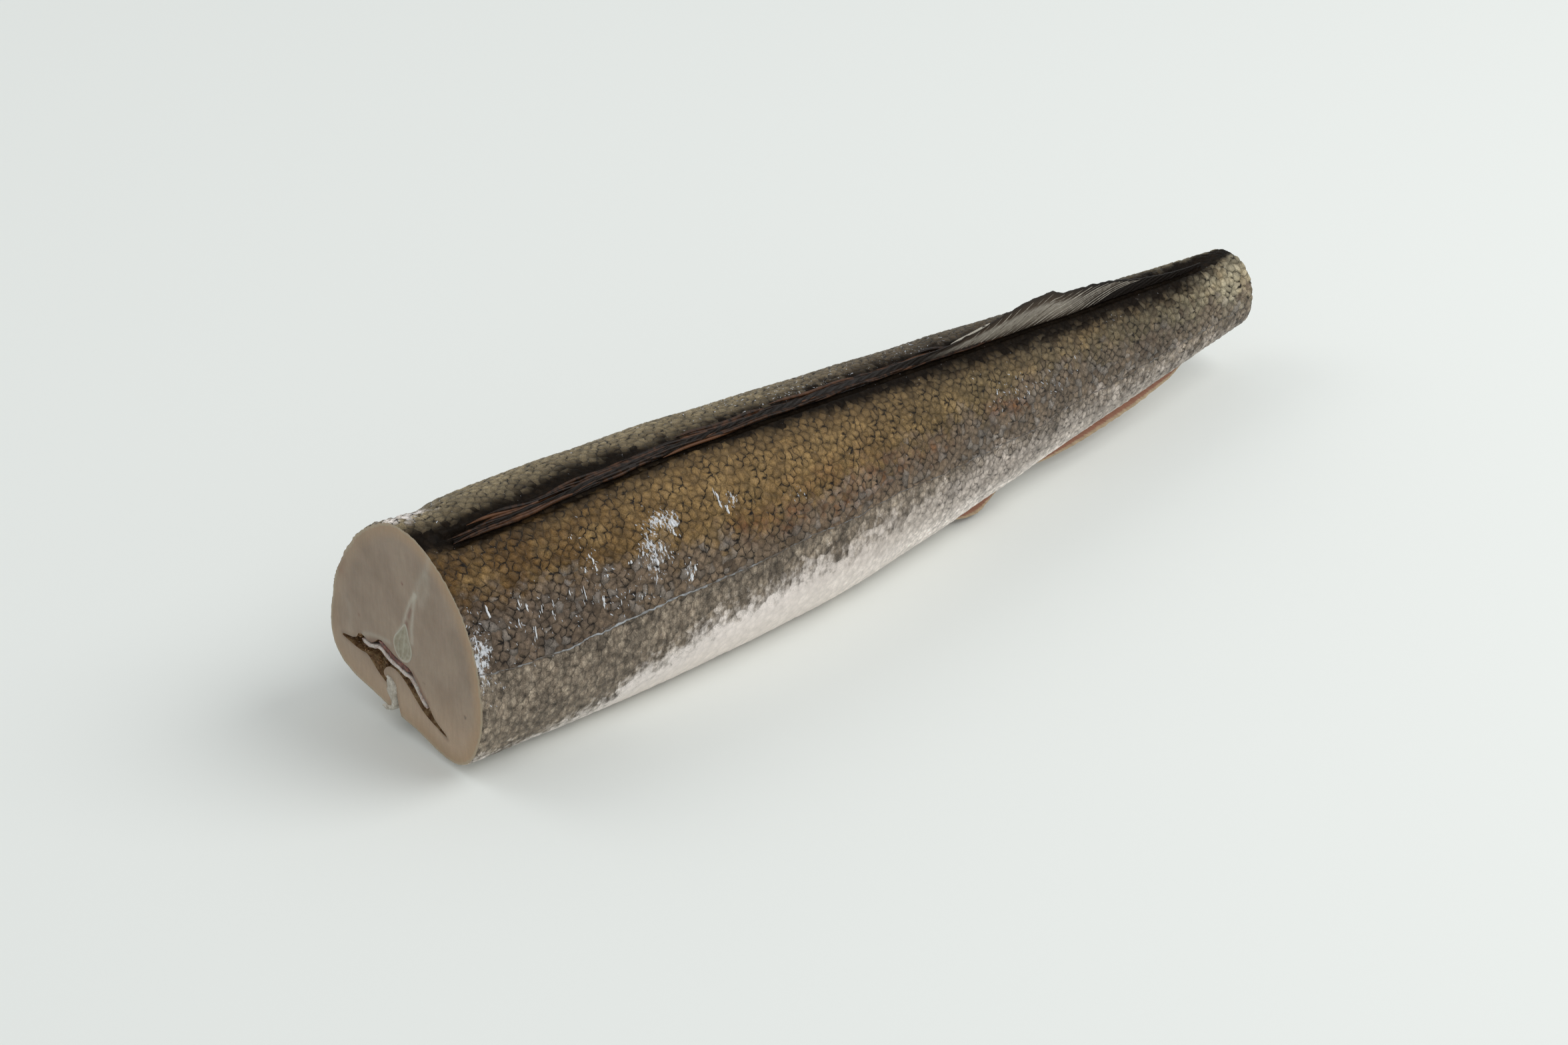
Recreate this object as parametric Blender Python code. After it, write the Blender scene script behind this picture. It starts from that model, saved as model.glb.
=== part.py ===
"""Headed, gutted and tailed hake trunk, frozen, lying on its belly.

Frame: +X runs from the head cut to the tail cut, +Z is up, the left flank faces -Y.
The origin is under the middle of the trunk, on the surface it rests on.
Sections of the trunk are planes of constant X.  Angles round a section start at the
far flank (+Y) and run over the back: 90 degrees is the top, 180 the near flank (-Y).
"""
import math

import bmesh
import bpy
import numpy as np
from mathutils import Vector, noise

MM = 0.001

# ---- trunk: sections at even-keeled stations, head cut to tail cut -------------------
LENGTH = 406 * MM
STATION = (0.0, 0.12, 0.25, 0.40, 0.55, 0.70, 0.85, 1.0)      # share of the length
SIDE = (7.1, 2.9, -0.9, -3.6, -3.4, -2.1, -0.7, 0.7)          # middle of the section, mm in Y
BELLY = (2.8, -0.6, -2.4, -2.6, 0.4, 5.9, 11.3, 17.0)         # underside, mm in Z
BACK = (85.0, 85.8, 84.2, 79.0, 71.9, 64.3, 56.3, 48.8)       # top of the back, mm in Z
HALF_WIDTH = (42.8, 41.4, 39.8, 36.5, 31.0, 24.7, 18.9, 13.4)  # mm

# how far the head cut's outline swells (+) or sinks (-) from an oval, every 30 degrees
SWELL = (0.010, -0.085, -0.035, 0.070, -0.048, -0.113, -0.084, 0.023, 0.123, -0.079, -0.044, 0.160)
SWELL_FADE = 0.36          # share of the length over which the swell dies away
OVAL_POWER = 2.2           # 2 is an ellipse, more is squarer
UNEVEN = 0.45 * MM         # soft lumps of the frozen flanks
UNEVEN_SIZE = 26 * MM
RINGS = 30

# ---- furrow along the back, where the second dorsal fin folds down -------------------
FURROW_ANGLE = (103.4, 104.5, 100.5, 97.5, 96.5, 96.5, 95.0, 92.0)   # degrees, at the stations
FURROW_DEPTH = 2.4 * MM
FURROW_FLOOR = 1.8 * MM    # half the flat floor
FURROW_SHOULDER = 5.0 * MM  # half the mouth
FURROW_START = 12 * MM     # behind the head cut it is at its full depth
NAPE_DENT = 3.4 * MM       # hollow left of the first dorsal fin, behind the head cut
NAPE_ANGLE = 52.0
NAPE_PLACE = 14 * MM
NAPE_REACH = 9 * MM

# ---- gut cavity, drawn on the head cut in mm (Y, Z) ----------------------------------
SLIT_FOOT = (16.6, 5.6)    # where the belly cut leaves the outline
NEAR_LIP = ((14.2, 7.0), (15.2, 11.4), (16.0, 15.4), (17.6, 18.6), (20.6, 19.6))
NEAR_FLAP_TOP = ((23.0, 20.6), (22.9, 22.6), (21.0, 25.0), (18.0, 26.4), (14.6, 26.0), (10.6, 24.0),
                 (7.0, 21.0), (3.6, 18.0), (0.0, 15.4), (-5.0, 13.6), (-12.0, 11.6))
NEAR_ROOF = ((-11.6, 12.6), (-5.6, 15.6), (-3.4, 18.6))
FAR_ROOF = ((36.4, 32.0), (38.4, 28.2), (46.0, 26.8))
FAR_FLAP_TOP = ((46.4, 25.9), (40.6, 24.9), (35.6, 24.4), (32.0, 25.2), (28.0, 21.6))
FAR_LIP = ((24.2, 19.0), (21.9, 18.1), (20.2, 16.2), (18.9, 13.4), (18.2, 10.8), (19.0, 7.0))
CAVITY_END = 0.42          # share of the length
CAVITY_CLOSE = 0.42        # size of the cavity's end against its mouth
CAVITY_RINGS = 12
VENT_ANGLE = 268.0         # the belly cut runs to here, degrees

# ---- linings of the cavity's roof ----------------------------------------------------
MEMBRANE = ((34.0, 30.6), (31.0, 29.4), (28.0, 30.2), (24.4, 31.8), (21.0, 30.4), (17.0, 28.7),
            (12.0, 27.9), (8.0, 27.5), (5.0, 26.2), (2.6, 23.0), (0.2, 20.6), (-2.0, 19.2))
MEMBRANE_THICK = 1.4       # mm, at the head cut
KIDNEY = (3, 4, 5, 6, 7)   # points of the membrane that the kidney covers
KIDNEY_THICK = 1.5         # mm, at the head cut
LINING_GAP = 0.45          # mm, at the head cut
LINING_END = 0.30          # share of the length
LINING_RINGS = 9

# ---- backbone ------------------------------------------------------------------------
SPINE_AT_HEAD = (11.0, 38.0)      # mm (Y, Z)
SPINE_WIDE = (5.2 * MM, 2.5 * MM)  # half width, head and tail
SPINE_HIGH = (6.2 * MM, 3.2 * MM)  # half height
ARCH_RISE = (5.0 * MM, 2.0 * MM)   # pointed arch on top of the column
SPINE_LEAN = math.radians(12)
SPINE_GAP = 0.35 * MM
SPINE_RINGS = 12
SPINE_SIDES = 20

# ---- fins: heights in mm at shares of the length -------------------------------------
DORSAL_RISE = ((0.030, 1.4), (0.08, 2.6), (0.30, 3.0), (0.52, 3.2), (0.60, 4.4), (0.63, 6.4),
               (0.66, 9.0), (0.70, 11.4), (0.742, 12.4), (0.754, 10.4), (0.77, 9.8), (0.80, 9.2),
               (0.83, 7.8), (0.86, 5.2), (0.90, 3.2), (0.955, 1.2))
DORSAL_LEAN = ((0.03, 24.0), (0.50, 20.0), (0.66, -4.0), (0.80, -10.0), (0.955, 6.0))
ANAL_RISE = ((0.697, 1.0), (0.72, 3.4), (0.76, 5.8), (0.80, 6.2), (0.85, 5.2), (0.895, 3.8),
             (0.918, 1.0))
ANAL_ANGLE = 246.0
ANAL_LEAN = -6.0
STUB_RISE = ((0.583, 0.8), (0.60, 2.6), (0.615, 3.2), (0.632, 1.8), (0.645, 0.8))
STUB_ANGLE = 243.0
FIN_ROOT = 1.1 * MM        # thickness at the root
FIN_EDGE = 0.6 * MM        # thickness at the free edge
FIN_RIPPLE = 0.35 * MM     # side-to-side ripple of the rays
FIN_LEVELS = 4
FIN_GAP = 0.6 * MM         # from the skin to the root


def along(knots, values, place):
    """Smooth curve through the values at the knots, with flat-free ends."""
    knots = np.asarray(knots, float)
    values = np.asarray(values, float)
    slopes = np.gradient(values, knots)
    span = int(np.clip(np.searchsorted(knots, place) - 1, 0, len(knots) - 2))
    step = knots[span + 1] - knots[span]
    t = min(max((place - knots[span]) / step, 0.0), 1.0)
    rise = (3 - 2 * t) * t * t
    return float((1 - rise) * values[span] + rise * values[span + 1]
                 + step * t * (1 - t) ** 2 * slopes[span]
                 - step * t * t * (1 - t) * slopes[span + 1])


def table(rows, place):
    knots, values = zip(*rows)
    return along(knots, values, place)


def swell(angle):
    """Swell of the outline at an angle, a closed smooth curve through SWELL."""
    count = len(SWELL)
    turns = (angle / math.tau * count) % count
    first = int(turns) - 1
    around = [SWELL[(first + k) % count] for k in range(4)]
    return along((-1, 0, 1, 2), around, turns - int(turns))


def signed_power(value, power):
    return math.copysign(abs(value) ** power, value)


def soft_step(value, low, high):
    t = min(max((value - low) / (high - low), 0.0), 1.0)
    return t * t * (3 - 2 * t)


class Section:
    """The trunk's outline in one plane of constant X."""

    def __init__(self, share):
        self.share = share
        self.x = (share - 0.5) * LENGTH
        belly = along(STATION, BELLY, share) * MM
        back = along(STATION, BACK, share) * MM
        self.half_width = along(STATION, HALF_WIDTH, share) * MM
        self.half_height = (back - belly) / 2
        self.middle = Vector((self.x, along(STATION, SIDE, share) * MM, (belly + back) / 2))
        self.furrow = math.radians(along(STATION, FURROW_ANGLE, share))

    def oval(self, angle):
        """Point of the plain outline, without furrow, dent or lumps."""
        grow = 1 + swell(angle) * math.exp(-self.share / SWELL_FADE)
        across = self.half_width * grow * signed_power(math.cos(angle), 2 / OVAL_POWER)
        up = self.half_height * grow * signed_power(math.sin(angle), 2 / OVAL_POWER)
        return self.middle + Vector((0, across, up))

    def outward(self, angle):
        tangent = self.oval(angle + 0.02) - self.oval(angle - 0.02)
        return Vector((0, tangent.z, -tangent.y)).normalized()

    def skin(self, angle):
        """Point of the real outline."""
        point = self.oval(angle)
        off_furrow = (point - self.oval(self.furrow)).length
        depth = FURROW_DEPTH * min(1.0, 0.45 + self.half_width / (40 * MM))
        depth *= soft_step(self.share * LENGTH, 0.0, FURROW_START)
        relief = -depth * (1 - soft_step(off_furrow, FURROW_FLOOR, FURROW_SHOULDER))
        turn = (angle - math.radians(NAPE_ANGLE)) / math.radians(24)
        back = (self.share * LENGTH - NAPE_PLACE) / NAPE_REACH
        relief -= NAPE_DENT * math.exp(-turn * turn - back * back)
        relief += UNEVEN * noise.noise(point / UNEVEN_SIZE)
        point = point + relief * self.outward(angle)
        point.z = max(point.z, 0.0)
        return point


def ring_angles(section):
    """Angles of a ring's points: close together in the furrow, even elsewhere."""
    scale = 40 * MM / max(section.half_width, 16 * MM)
    close = [math.radians(a) * scale for a in (-11, -8, -6, -4.2, -2.4, 0, 2.4, 4.2, 6, 8, 11)]
    rest = np.linspace(close[-1], math.tau + close[0], 48)[1:-1]
    return [section.furrow + a for a in close + list(rest)]


def solid(name, rings, colour, roughness=0.45, cutter=False):
    """Closed body from rings of points, each ring with the same count, with flat ends."""
    shape = bmesh.new()
    loops = [[shape.verts.new(point) for point in ring] for ring in rings]
    for near, far in zip(loops, loops[1:]):
        for k, vert in enumerate(near):
            after = (k + 1) % len(near)
            shape.faces.new((vert, near[after], far[after], far[k]))
    shape.faces.new(loops[0][::-1])
    shape.faces.new(loops[-1])
    bmesh.ops.triangulate(shape, faces=shape.faces[:])
    if shape.calc_volume(signed=True) < 0:
        bmesh.ops.reverse_faces(shape, faces=shape.faces[:])
    mesh = bpy.data.meshes.new(name)
    shape.to_mesh(mesh)
    shape.free()
    mesh.shade_smooth()
    mesh.set_sharp_from_angle(angle=math.radians(42))
    thing = bpy.data.objects.new(name, mesh)
    bpy.context.scene.collection.objects.link(thing)
    if cutter:
        thing.hide_render = True
        thing.display_type = "WIRE"
        return thing
    paint = bpy.data.materials.new(name)
    paint.use_nodes = True
    surface = paint.node_tree.nodes["Principled BSDF"]
    surface.inputs["Base Color"].default_value = (*colour, 1)
    surface.inputs["Roughness"].default_value = roughness
    surface.inputs["Metallic"].default_value = 0.0
    mesh.materials.append(paint)
    return thing


def cut(body, cutter):
    """Take the cutter out of the body; both are closed, so the manifold solver holds."""
    boolean = body.modifiers.new(cutter.name, "BOOLEAN")
    boolean.operation = "DIFFERENCE"
    boolean.solver = "MANIFOLD"
    boolean.object = cutter


def make_trunk():
    rings = []
    for k in range(RINGS + 1):
        section = Section((k / RINGS) ** 1.35)
        rings.append([section.skin(angle) for angle in ring_angles(section)])
    return solid("trunk", rings, (0.19, 0.15, 0.11))


# ---- gut cavity and its linings ------------------------------------------------------
def shifted(line, distance):
    """Line of (Y, Z) points moved sideways, to the left of its direction for +."""
    moved = []
    for k, (y, z) in enumerate(line):
        ahead = line[min(k + 1, len(line) - 1)]
        behind = line[max(k - 1, 0)]
        run = math.hypot(ahead[0] - behind[0], ahead[1] - behind[1])
        moved.append((y - (ahead[1] - behind[1]) / run * distance,
                      z + (ahead[0] - behind[0]) / run * distance))
    return moved


def band(line, thickness):
    """Closed outline of a lining of even thickness about a line."""
    return shifted(line, -thickness / 2) + shifted(line, thickness / 2)[::-1]


def kidney_line():
    raised = shifted(MEMBRANE, -(MEMBRANE_THICK / 2 + 1.5 * LINING_GAP + KIDNEY_THICK / 2))
    line = [raised[k] for k in KIDNEY]
    for end, inner in ((0, 1), (-1, -2)):
        line[end] = tuple(0.85 * a + 0.15 * b for a, b in zip(line[end], line[inner]))
    return line


def cavity_outline():
    """Outline of the cavity and the belly cut on the head cut, in mm."""
    low = shifted(MEMBRANE, -(MEMBRANE_THICK / 2 + LINING_GAP))
    high = shifted(MEMBRANE, -(MEMBRANE_THICK / 2 + 2.5 * LINING_GAP + KIDNEY_THICK))
    roof = [high[k] if k in KIDNEY else low[k] for k in range(len(MEMBRANE))]
    below = [(NEAR_LIP[0][0], -6.0), (FAR_LIP[-1][0], -6.0)]
    return ([below[0], *NEAR_LIP, *NEAR_FLAP_TOP, *NEAR_ROOF] + roof[::-1]
            + [*FAR_ROOF, *FAR_FLAP_TOP, *FAR_LIP, below[1]])


def carried(points, share):
    """Points drawn on the head cut in mm, carried to another section and made smaller."""
    head = Section(0.0)
    foot_y, foot_z = (value * MM for value in SLIT_FOOT)
    start = math.atan2(foot_z - head.middle.z, foot_y - head.middle.y) % math.tau
    travel = share / CAVITY_END
    foot = Section(share).oval(start + (math.radians(VENT_ANGLE) - start) * travel)
    at_head = head.oval(start)
    foot += Vector((0, foot_y - at_head.y, foot_z - at_head.z)) * (1 - travel)
    size = 1 - (1 - CAVITY_CLOSE) * travel
    return [foot + Vector((0, y * MM - foot_y, z * MM - foot_z)) * size for y, z in points]


def make_cavity():
    outline = cavity_outline()
    rings = [carried(outline, share) for share in np.linspace(0.0, CAVITY_END, CAVITY_RINGS)]
    rings.insert(0, [point - Vector((5 * MM, 0, 0)) for point in rings[0]])
    return solid("gut_cavity", rings, (0, 0, 0), cutter=True)


def make_lining(name, line, thickness, colour, roughness):
    outline = band(line, thickness)
    shares = np.linspace(0.0, LINING_END, LINING_RINGS)
    return solid(name, [carried(outline, share) for share in shares], colour, roughness)


def make_linings():
    make_lining("belly_membrane", MEMBRANE, MEMBRANE_THICK, (0.66, 0.60, 0.57), 0.35)
    make_lining("kidney", kidney_line(), KIDNEY_THICK, (0.12, 0.03, 0.025), 0.3)


# ---- backbone ------------------------------------------------------------------------
def spine_ring(share, margin):
    section = Section(share)
    head = Section(0.0)
    offset_y = (SPINE_AT_HEAD[0] * MM - head.middle.y) * (1 - share)
    offset_z = (SPINE_AT_HEAD[1] * MM - head.middle.z) * (1 - share)
    middle = section.middle + Vector((0, offset_y, offset_z))
    wide, high, rise = (start + (end - start) * share for start, end in (SPINE_WIDE, SPINE_HIGH, ARCH_RISE))
    ring = []
    for k in range(SPINE_SIDES):
        angle = math.tau * k / SPINE_SIDES
        off_top = math.remainder(angle - math.pi / 2, math.tau) / math.radians(26)
        across = (wide + margin) * math.cos(angle)
        up = (high + margin) * math.sin(angle) + rise * math.exp(-off_top * off_top)
        lean = SPINE_LEAN * (1 - share)
        ring.append(middle + Vector((0, across * math.cos(lean) - up * math.sin(lean),
                                     across * math.sin(lean) + up * math.cos(lean))))
    return ring


def make_spine():
    shares = np.linspace(0.0, 1.0, SPINE_RINGS)
    column = solid("backbone", [spine_ring(share, 0.0) for share in shares], (0.45, 0.44, 0.38), 0.5)
    tunnel = [spine_ring(share, SPINE_GAP) for share in shares]
    past_head = [point - Vector((5 * MM, 0, 0)) for point in tunnel[0]]
    past_tail = [point + Vector((5 * MM, 0, 0)) for point in tunnel[-1]]
    hole = solid("spine_tunnel", [past_head] + tunnel + [past_tail], (0, 0, 0), cutter=True)
    return column, hole


# ---- fins ----------------------------------------------------------------------------
def fin_ring(share, root, outward, height, lean, ray):
    """Outline of a fin's section: up one face and down the other."""
    tilt = math.radians(lean)
    up = Vector((0, outward.y * math.cos(tilt) - outward.z * math.sin(tilt),
                 outward.y * math.sin(tilt) + outward.z * math.cos(tilt)))
    side = Vector((0, -up.z, up.y))
    rising = []
    falling = []
    for level in range(FIN_LEVELS + 1):
        climb = level / FIN_LEVELS
        bend = FIN_RIPPLE * climb * math.sin(ray * math.tau)
        half = (FIN_ROOT + (FIN_EDGE - FIN_ROOT) * climb) / 2
        spot = root + up * (height * climb) + side * bend
        rising.append(spot - side * half)
        falling.append(spot + side * half)
    return rising + falling[::-1]


def make_fin(name, rise, count, root_at, lean_at, colour):
    first = rise[0][0]
    last = rise[-1][0]
    rings = []
    for k in range(count + 1):
        share = first + (last - first) * k / count
        section = Section(share)
        root, outward = root_at(section)
        height = table(rise, share) * MM
        rings.append(fin_ring(share, root, outward, height, lean_at(share), k * 0.29))
    return solid(name, rings, colour, 0.4)


def dorsal_root(section):
    outward = section.outward(section.furrow)
    return section.skin(section.furrow) + outward * FIN_GAP, outward


def belly_root(degrees):
    def root_at(section):
        angle = math.radians(degrees)
        outward = section.outward(angle)
        return section.skin(angle) + outward * FIN_GAP, outward
    return root_at


def make_fins():
    make_fin("dorsal_fin", DORSAL_RISE, 60, dorsal_root, lambda share: table(DORSAL_LEAN, share),
             (0.10, 0.07, 0.05))
    make_fin("anal_fin", ANAL_RISE, 26, belly_root(ANAL_ANGLE), lambda share: ANAL_LEAN,
             (0.24, 0.12, 0.07))
    make_fin("anal_fin_stub", STUB_RISE, 8, belly_root(STUB_ANGLE), lambda share: ANAL_LEAN,
             (0.30, 0.17, 0.12))


def centre_over_origin(things):
    """Move everything sideways so that the whole part straddles the origin."""
    places = [vert.co.y for thing in things for vert in thing.data.vertices if not thing.hide_render]
    shift = -(min(places) + max(places)) / 2
    for thing in things:
        for vert in thing.data.vertices:
            vert.co.y += shift


def main():
    for old in list(bpy.data.objects):
        bpy.data.objects.remove(old)
    trunk = make_trunk()
    cavity = make_cavity()
    make_linings()
    column, tunnel = make_spine()
    cut(trunk, cavity)
    cut(trunk, tunnel)
    make_fins()
    centre_over_origin(list(bpy.context.scene.collection.objects))


main()
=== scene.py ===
"""Finish of a headed, gutted and tailed hake trunk, frozen, lying on its belly.

Frame: +X runs from the head cut to the tail cut, +Z is up, the left flank faces -Y.
The trunk's outline follows the same rule as its solids, but here the furrow ends before
the tail cut.  Shapes are drawn in metres, named sizes are in millimetres, and angles round
a section start at the far flank and run over the back, so 90 degrees is the top and 180
the near flank.
"""

import math

import bpy
import numpy as np
from mathutils import Matrix, Vector, geometry, noise


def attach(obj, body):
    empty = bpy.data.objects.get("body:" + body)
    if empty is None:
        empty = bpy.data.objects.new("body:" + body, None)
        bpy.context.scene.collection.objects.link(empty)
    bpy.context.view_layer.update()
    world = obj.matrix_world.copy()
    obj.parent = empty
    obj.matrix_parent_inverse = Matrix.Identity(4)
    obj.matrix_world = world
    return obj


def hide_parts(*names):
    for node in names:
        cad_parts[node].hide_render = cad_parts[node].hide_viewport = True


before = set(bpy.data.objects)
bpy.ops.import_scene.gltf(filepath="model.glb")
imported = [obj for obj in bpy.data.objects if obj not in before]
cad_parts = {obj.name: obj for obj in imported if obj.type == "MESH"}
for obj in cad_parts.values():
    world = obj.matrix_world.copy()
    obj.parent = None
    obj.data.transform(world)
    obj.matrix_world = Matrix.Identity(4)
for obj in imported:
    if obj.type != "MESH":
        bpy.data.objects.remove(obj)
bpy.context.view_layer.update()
MM = 0.001

# ---- the trunk's outline, as the solids have it --------------------------------------
LENGTH = 406 * MM
STATION = (0.0, 0.12, 0.25, 0.40, 0.55, 0.70, 0.85, 1.0)
SIDE = (7.1, 2.9, -0.9, -3.6, -3.4, -2.1, -0.7, 0.7)
BELLY = (2.8, -0.6, -2.4, -2.6, 0.4, 5.9, 11.3, 17.0)
BACK = (85.0, 85.8, 84.2, 79.0, 71.9, 64.3, 56.3, 48.8)
HALF_WIDTH = (42.8, 41.4, 39.8, 36.5, 31.0, 24.7, 18.9, 13.4)
SWELL = (0.010, -0.085, -0.035, 0.070, -0.048, -0.113, -0.084, 0.023, 0.123, -0.079, -0.044, 0.160)
SWELL_FADE = 0.36
OVAL_POWER = 2.2
UNEVEN = 0.45 * MM
UNEVEN_SIZE = 26 * MM
FURROW_ANGLE = (103.4, 104.5, 100.5, 97.5, 96.5, 96.5, 95.0, 92.0)
FURROW_DEPTH = 2.4 * MM
FURROW_FLOOR = 1.8 * MM
FURROW_SHOULDER = 5.0 * MM
FURROW_LEAST = 0.45             # share of the depth that the slimmest section keeps
FURROW_FULL = 40 * MM           # half width that adds the rest
FURROW_START = 12 * MM          # length over which it gets its depth at the head cut
FURROW_END = 30 * MM            # and loses it at the tail cut; in the solid it runs on
NAPE_DENT = 3.4 * MM
NAPE_ANGLE = 52.0
NAPE_SPREAD = 24.0
NAPE_PLACE = 14 * MM
NAPE_REACH = 9 * MM
CENTRE = -6.51 * MM        # sideways move that sets the whole part over the origin

# ---- gut cavity on the head cut, mm (Y, Z), and how it is carried tailwards ----------
SLIT_FOOT = (16.6, 5.6)
NEAR_LIP = ((14.2, 7.0), (15.2, 11.4), (16.0, 15.4), (17.6, 18.6), (20.6, 19.6))
NEAR_FLAP_TOP = ((23.0, 20.6), (22.9, 22.6), (21.0, 25.0), (18.0, 26.4), (14.6, 26.0), (10.6, 24.0),
                 (7.0, 21.0), (3.6, 18.0), (0.0, 15.4), (-5.0, 13.6), (-12.0, 11.6))
NEAR_ROOF = ((-11.6, 12.6), (-5.6, 15.6), (-3.4, 18.6))
FAR_ROOF = ((36.4, 32.0), (38.4, 28.2), (46.0, 26.8))
FAR_FLAP_TOP = ((46.4, 25.9), (40.6, 24.9), (35.6, 24.4), (32.0, 25.2), (28.0, 21.6))
FAR_LIP = ((24.2, 19.0), (21.9, 18.1), (20.2, 16.2), (18.9, 13.4), (18.2, 10.8), (19.0, 7.0))
CAVITY_END = 0.42
CAVITY_CLOSE = 0.42
VENT_ANGLE = 268.0
MEMBRANE = ((34.0, 30.6), (31.0, 29.4), (28.0, 30.2), (24.4, 31.8), (21.0, 30.4), (17.0, 28.7),
            (12.0, 27.9), (8.0, 27.5), (5.0, 26.2), (2.6, 23.0), (0.2, 20.6), (-2.0, 19.2))
MEMBRANE_THICK = 1.4
KIDNEY = (3, 4, 5, 6, 7)
KIDNEY_THICK = 1.5
LINING_GAP = 0.45
LINING_END = 0.30
LINING_STEPS = 46
CURL = ((20.6, 21.6), (19.4, 20.6), (18.5, 18.2), (18.5, 15.4), (17.7, 12.8), (17.5, 10.8),
        (18.4, 9.0), (20.6, 7.9), (24.4, 7.2))
CURL_END = 0.10
CURL_STEPS = 26
WALL_SPACING = 0.7              # mm between points round the cavity's wall
WALL_RINGS = 70
WALL_ROUGH = 0.35               # mm
CUT_LUMPS = ((0.28, 9 * MM), (0.10, 2.2 * MM))       # height in mm and size of a sawn face's lumps
CUT_RIM = 1.5                   # mm over which they fade at its edge
CUT_SPACING = (0.75, 0.8)       # mm between the points of the head cut and of the tail cut

# ---- marks on the head cut: strength, reach and points (Y, Z), mm --------------------
BONE_STROKES = (
    (0.75, 0.8, ((15.2, 37.3), (13.2, 43.0), (10.0, 47.4), (7.7, 53.6), (5.4, 59.3), (2.3, 64.0))),
    (0.75, 0.8, ((5.6, 42.3), (5.3, 47.5), (4.6, 52.3), (3.7, 57.4), (2.0, 63.7))),
    (0.32, 1.6, ((1.9, 64.2), (0.1, 69.1), (-2.7, 74.1), (-5.5, 79.0), (-6.5, 83.1))),
    (0.30, 2.2, ((-1.0, 62.0), (-4.0, 68.0), (-5.0, 74.0))),
    (0.45, 1.0, ((35.0, 29.6), (33.4, 32.7), (29.2, 34.6), (24.0, 35.8), (18.6, 36.4))),
    (0.16, 1.6, ((41.6, 41.6), (40.6, 35.5), (42.1, 30.1))))
BLOOD_STROKES = (
    (0.55, 1.0, ((9.4, 44.9), (7.9, 49.6))), (0.45, 0.9, ((6.6, 53.0), (5.1, 56.5))),
    (0.9, 0.5, ((9.3, 65.0), (9.4, 65.2))), (0.28, 2.4, ((45.9, 54.0), (44.3, 60.0))),
    (0.5, 0.5, ((35.8, 39.3), (35.9, 39.5))),
    (0.35, 0.9, ((30.6, 31.0), (24.0, 33.8), (19.4, 33.0))),
    (0.5, 0.6, ((6.0, 30.2), (3.4, 27.6), (1.0, 23.4), (-1.8, 21.0))))
DARK_STROKES = (
    (0.8, 0.5, ((-22.8, 25.7), (-22.7, 25.9))), (0.4, 0.4, ((-0.4, 28.6), (-0.3, 28.7))),
    (0.55, 1.3, ((38.6, 27.4), (34.8, 26.6), (33.8, 25.4))),
    (0.3, 1.0, ((45.6, 26.4), (40.8, 25.4))),
    (0.3, 0.8, ((-3.4, 16.6), (-8.0, 13.0), (-12.4, 11.2))))

# ---- backbone and fins: the anal fin's web is lower here than in its solid -----------
SPINE_AT_HEAD = (11.0, 38.0)
SPINE_STEPS = 60
SPINE_SIDES = 72
DISC_STEPS = 15
ARCH_SPREAD = 26.0              # degrees
SPINE_WIDE = (5.2 * MM, 2.5 * MM)
SPINE_HIGH = (6.2 * MM, 3.2 * MM)
ARCH_RISE = (5.0 * MM, 2.0 * MM)
SPINE_LEAN = math.radians(12)
DORSAL_RISE = ((0.030, 1.4), (0.08, 2.6), (0.30, 3.0), (0.52, 3.2), (0.60, 4.4), (0.63, 6.4),
               (0.66, 9.0), (0.70, 11.4), (0.742, 12.4), (0.754, 10.4), (0.77, 9.8), (0.80, 9.2),
               (0.83, 7.8), (0.86, 5.2), (0.90, 3.2), (0.955, 1.2))
FRONT_RAY = (0.604, 0.656)      # pale ray along the front of the standing lobe
DORSAL_SWEEP = 3.4              # how far rays lean tailwards, of their height
DORSAL_SPACING = 5.5            # mm between rays
ANAL_SWEEP = 1.4
ANAL_SPACING = 4.2
ANAL_LEAN = -6.0                # degrees
FOLDED_SPAN = (0.022, 0.60)     # where the folded rays start
FOLDED_COUNT = 84
FOLDED_LIMIT = 0.70
FOLDED_STEPS = 24
FOLDED_PALENESS = (0.0, 0.1, 0.25, 0.6, 1.0)
FOLDED_CHANCE = (0.44, 0.26, 0.14, 0.10, 0.06)
STANDING_SPAN = (0.605, 0.80, 0.0095)          # start, end and spacing of the ridges
FAN_REACH = 0.7                 # radians to each side of the furrow
FAN_STEPS = 57
STRAND_SIDES = 6
FIN_LEVELS = 20
FIN_THICK = (1.05, 0.34)        # mm at the root and at the edge
FIN_WAVE = 17.0                 # mm, a sixth of the web's long waves
# share and degrees that the dorsal fin leans
FOLD_LEAN = ((0.03, -30.0), (0.52, -24.0), (0.64, -4.0), (0.80, -10.0), (0.955, 6.0))
ANAL_RISE = ((0.697, 0.9), (0.72, 2.4), (0.76, 4.0), (0.80, 4.5), (0.85, 4.3), (0.895, 3.2),
             (0.918, 0.9))
STUB_RISE = ((0.583, 0.8), (0.60, 3.2), (0.615, 4.2), (0.632, 2.4), (0.645, 0.8))

# ---- skin: rows of scales and bands of colour ----------------------------------------
COLUMNS = 640                                  # along the trunk
BACK_ROWS = 112                                # furrow to lateral line, each side
BELLY_ROWS_NEAR = 150                          # lateral line to the belly cut
BELLY_ROWS_FAR = 90
LATERAL_HEIGHT = ((0.0, 48.0), (0.05, 45.0), (0.10, 44.6), (0.16, 45.8), (0.22, 45.4), (0.30, 45.0),
                  (0.35, 45.6), (0.40, 43.8), (0.47, 43.4), (0.52, 40.8), (0.61, 37.6),
                  (0.66, 35.2), (0.71, 35.6), (0.80, 33.4), (0.89, 32.8), (1.0, 30.8))
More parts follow.
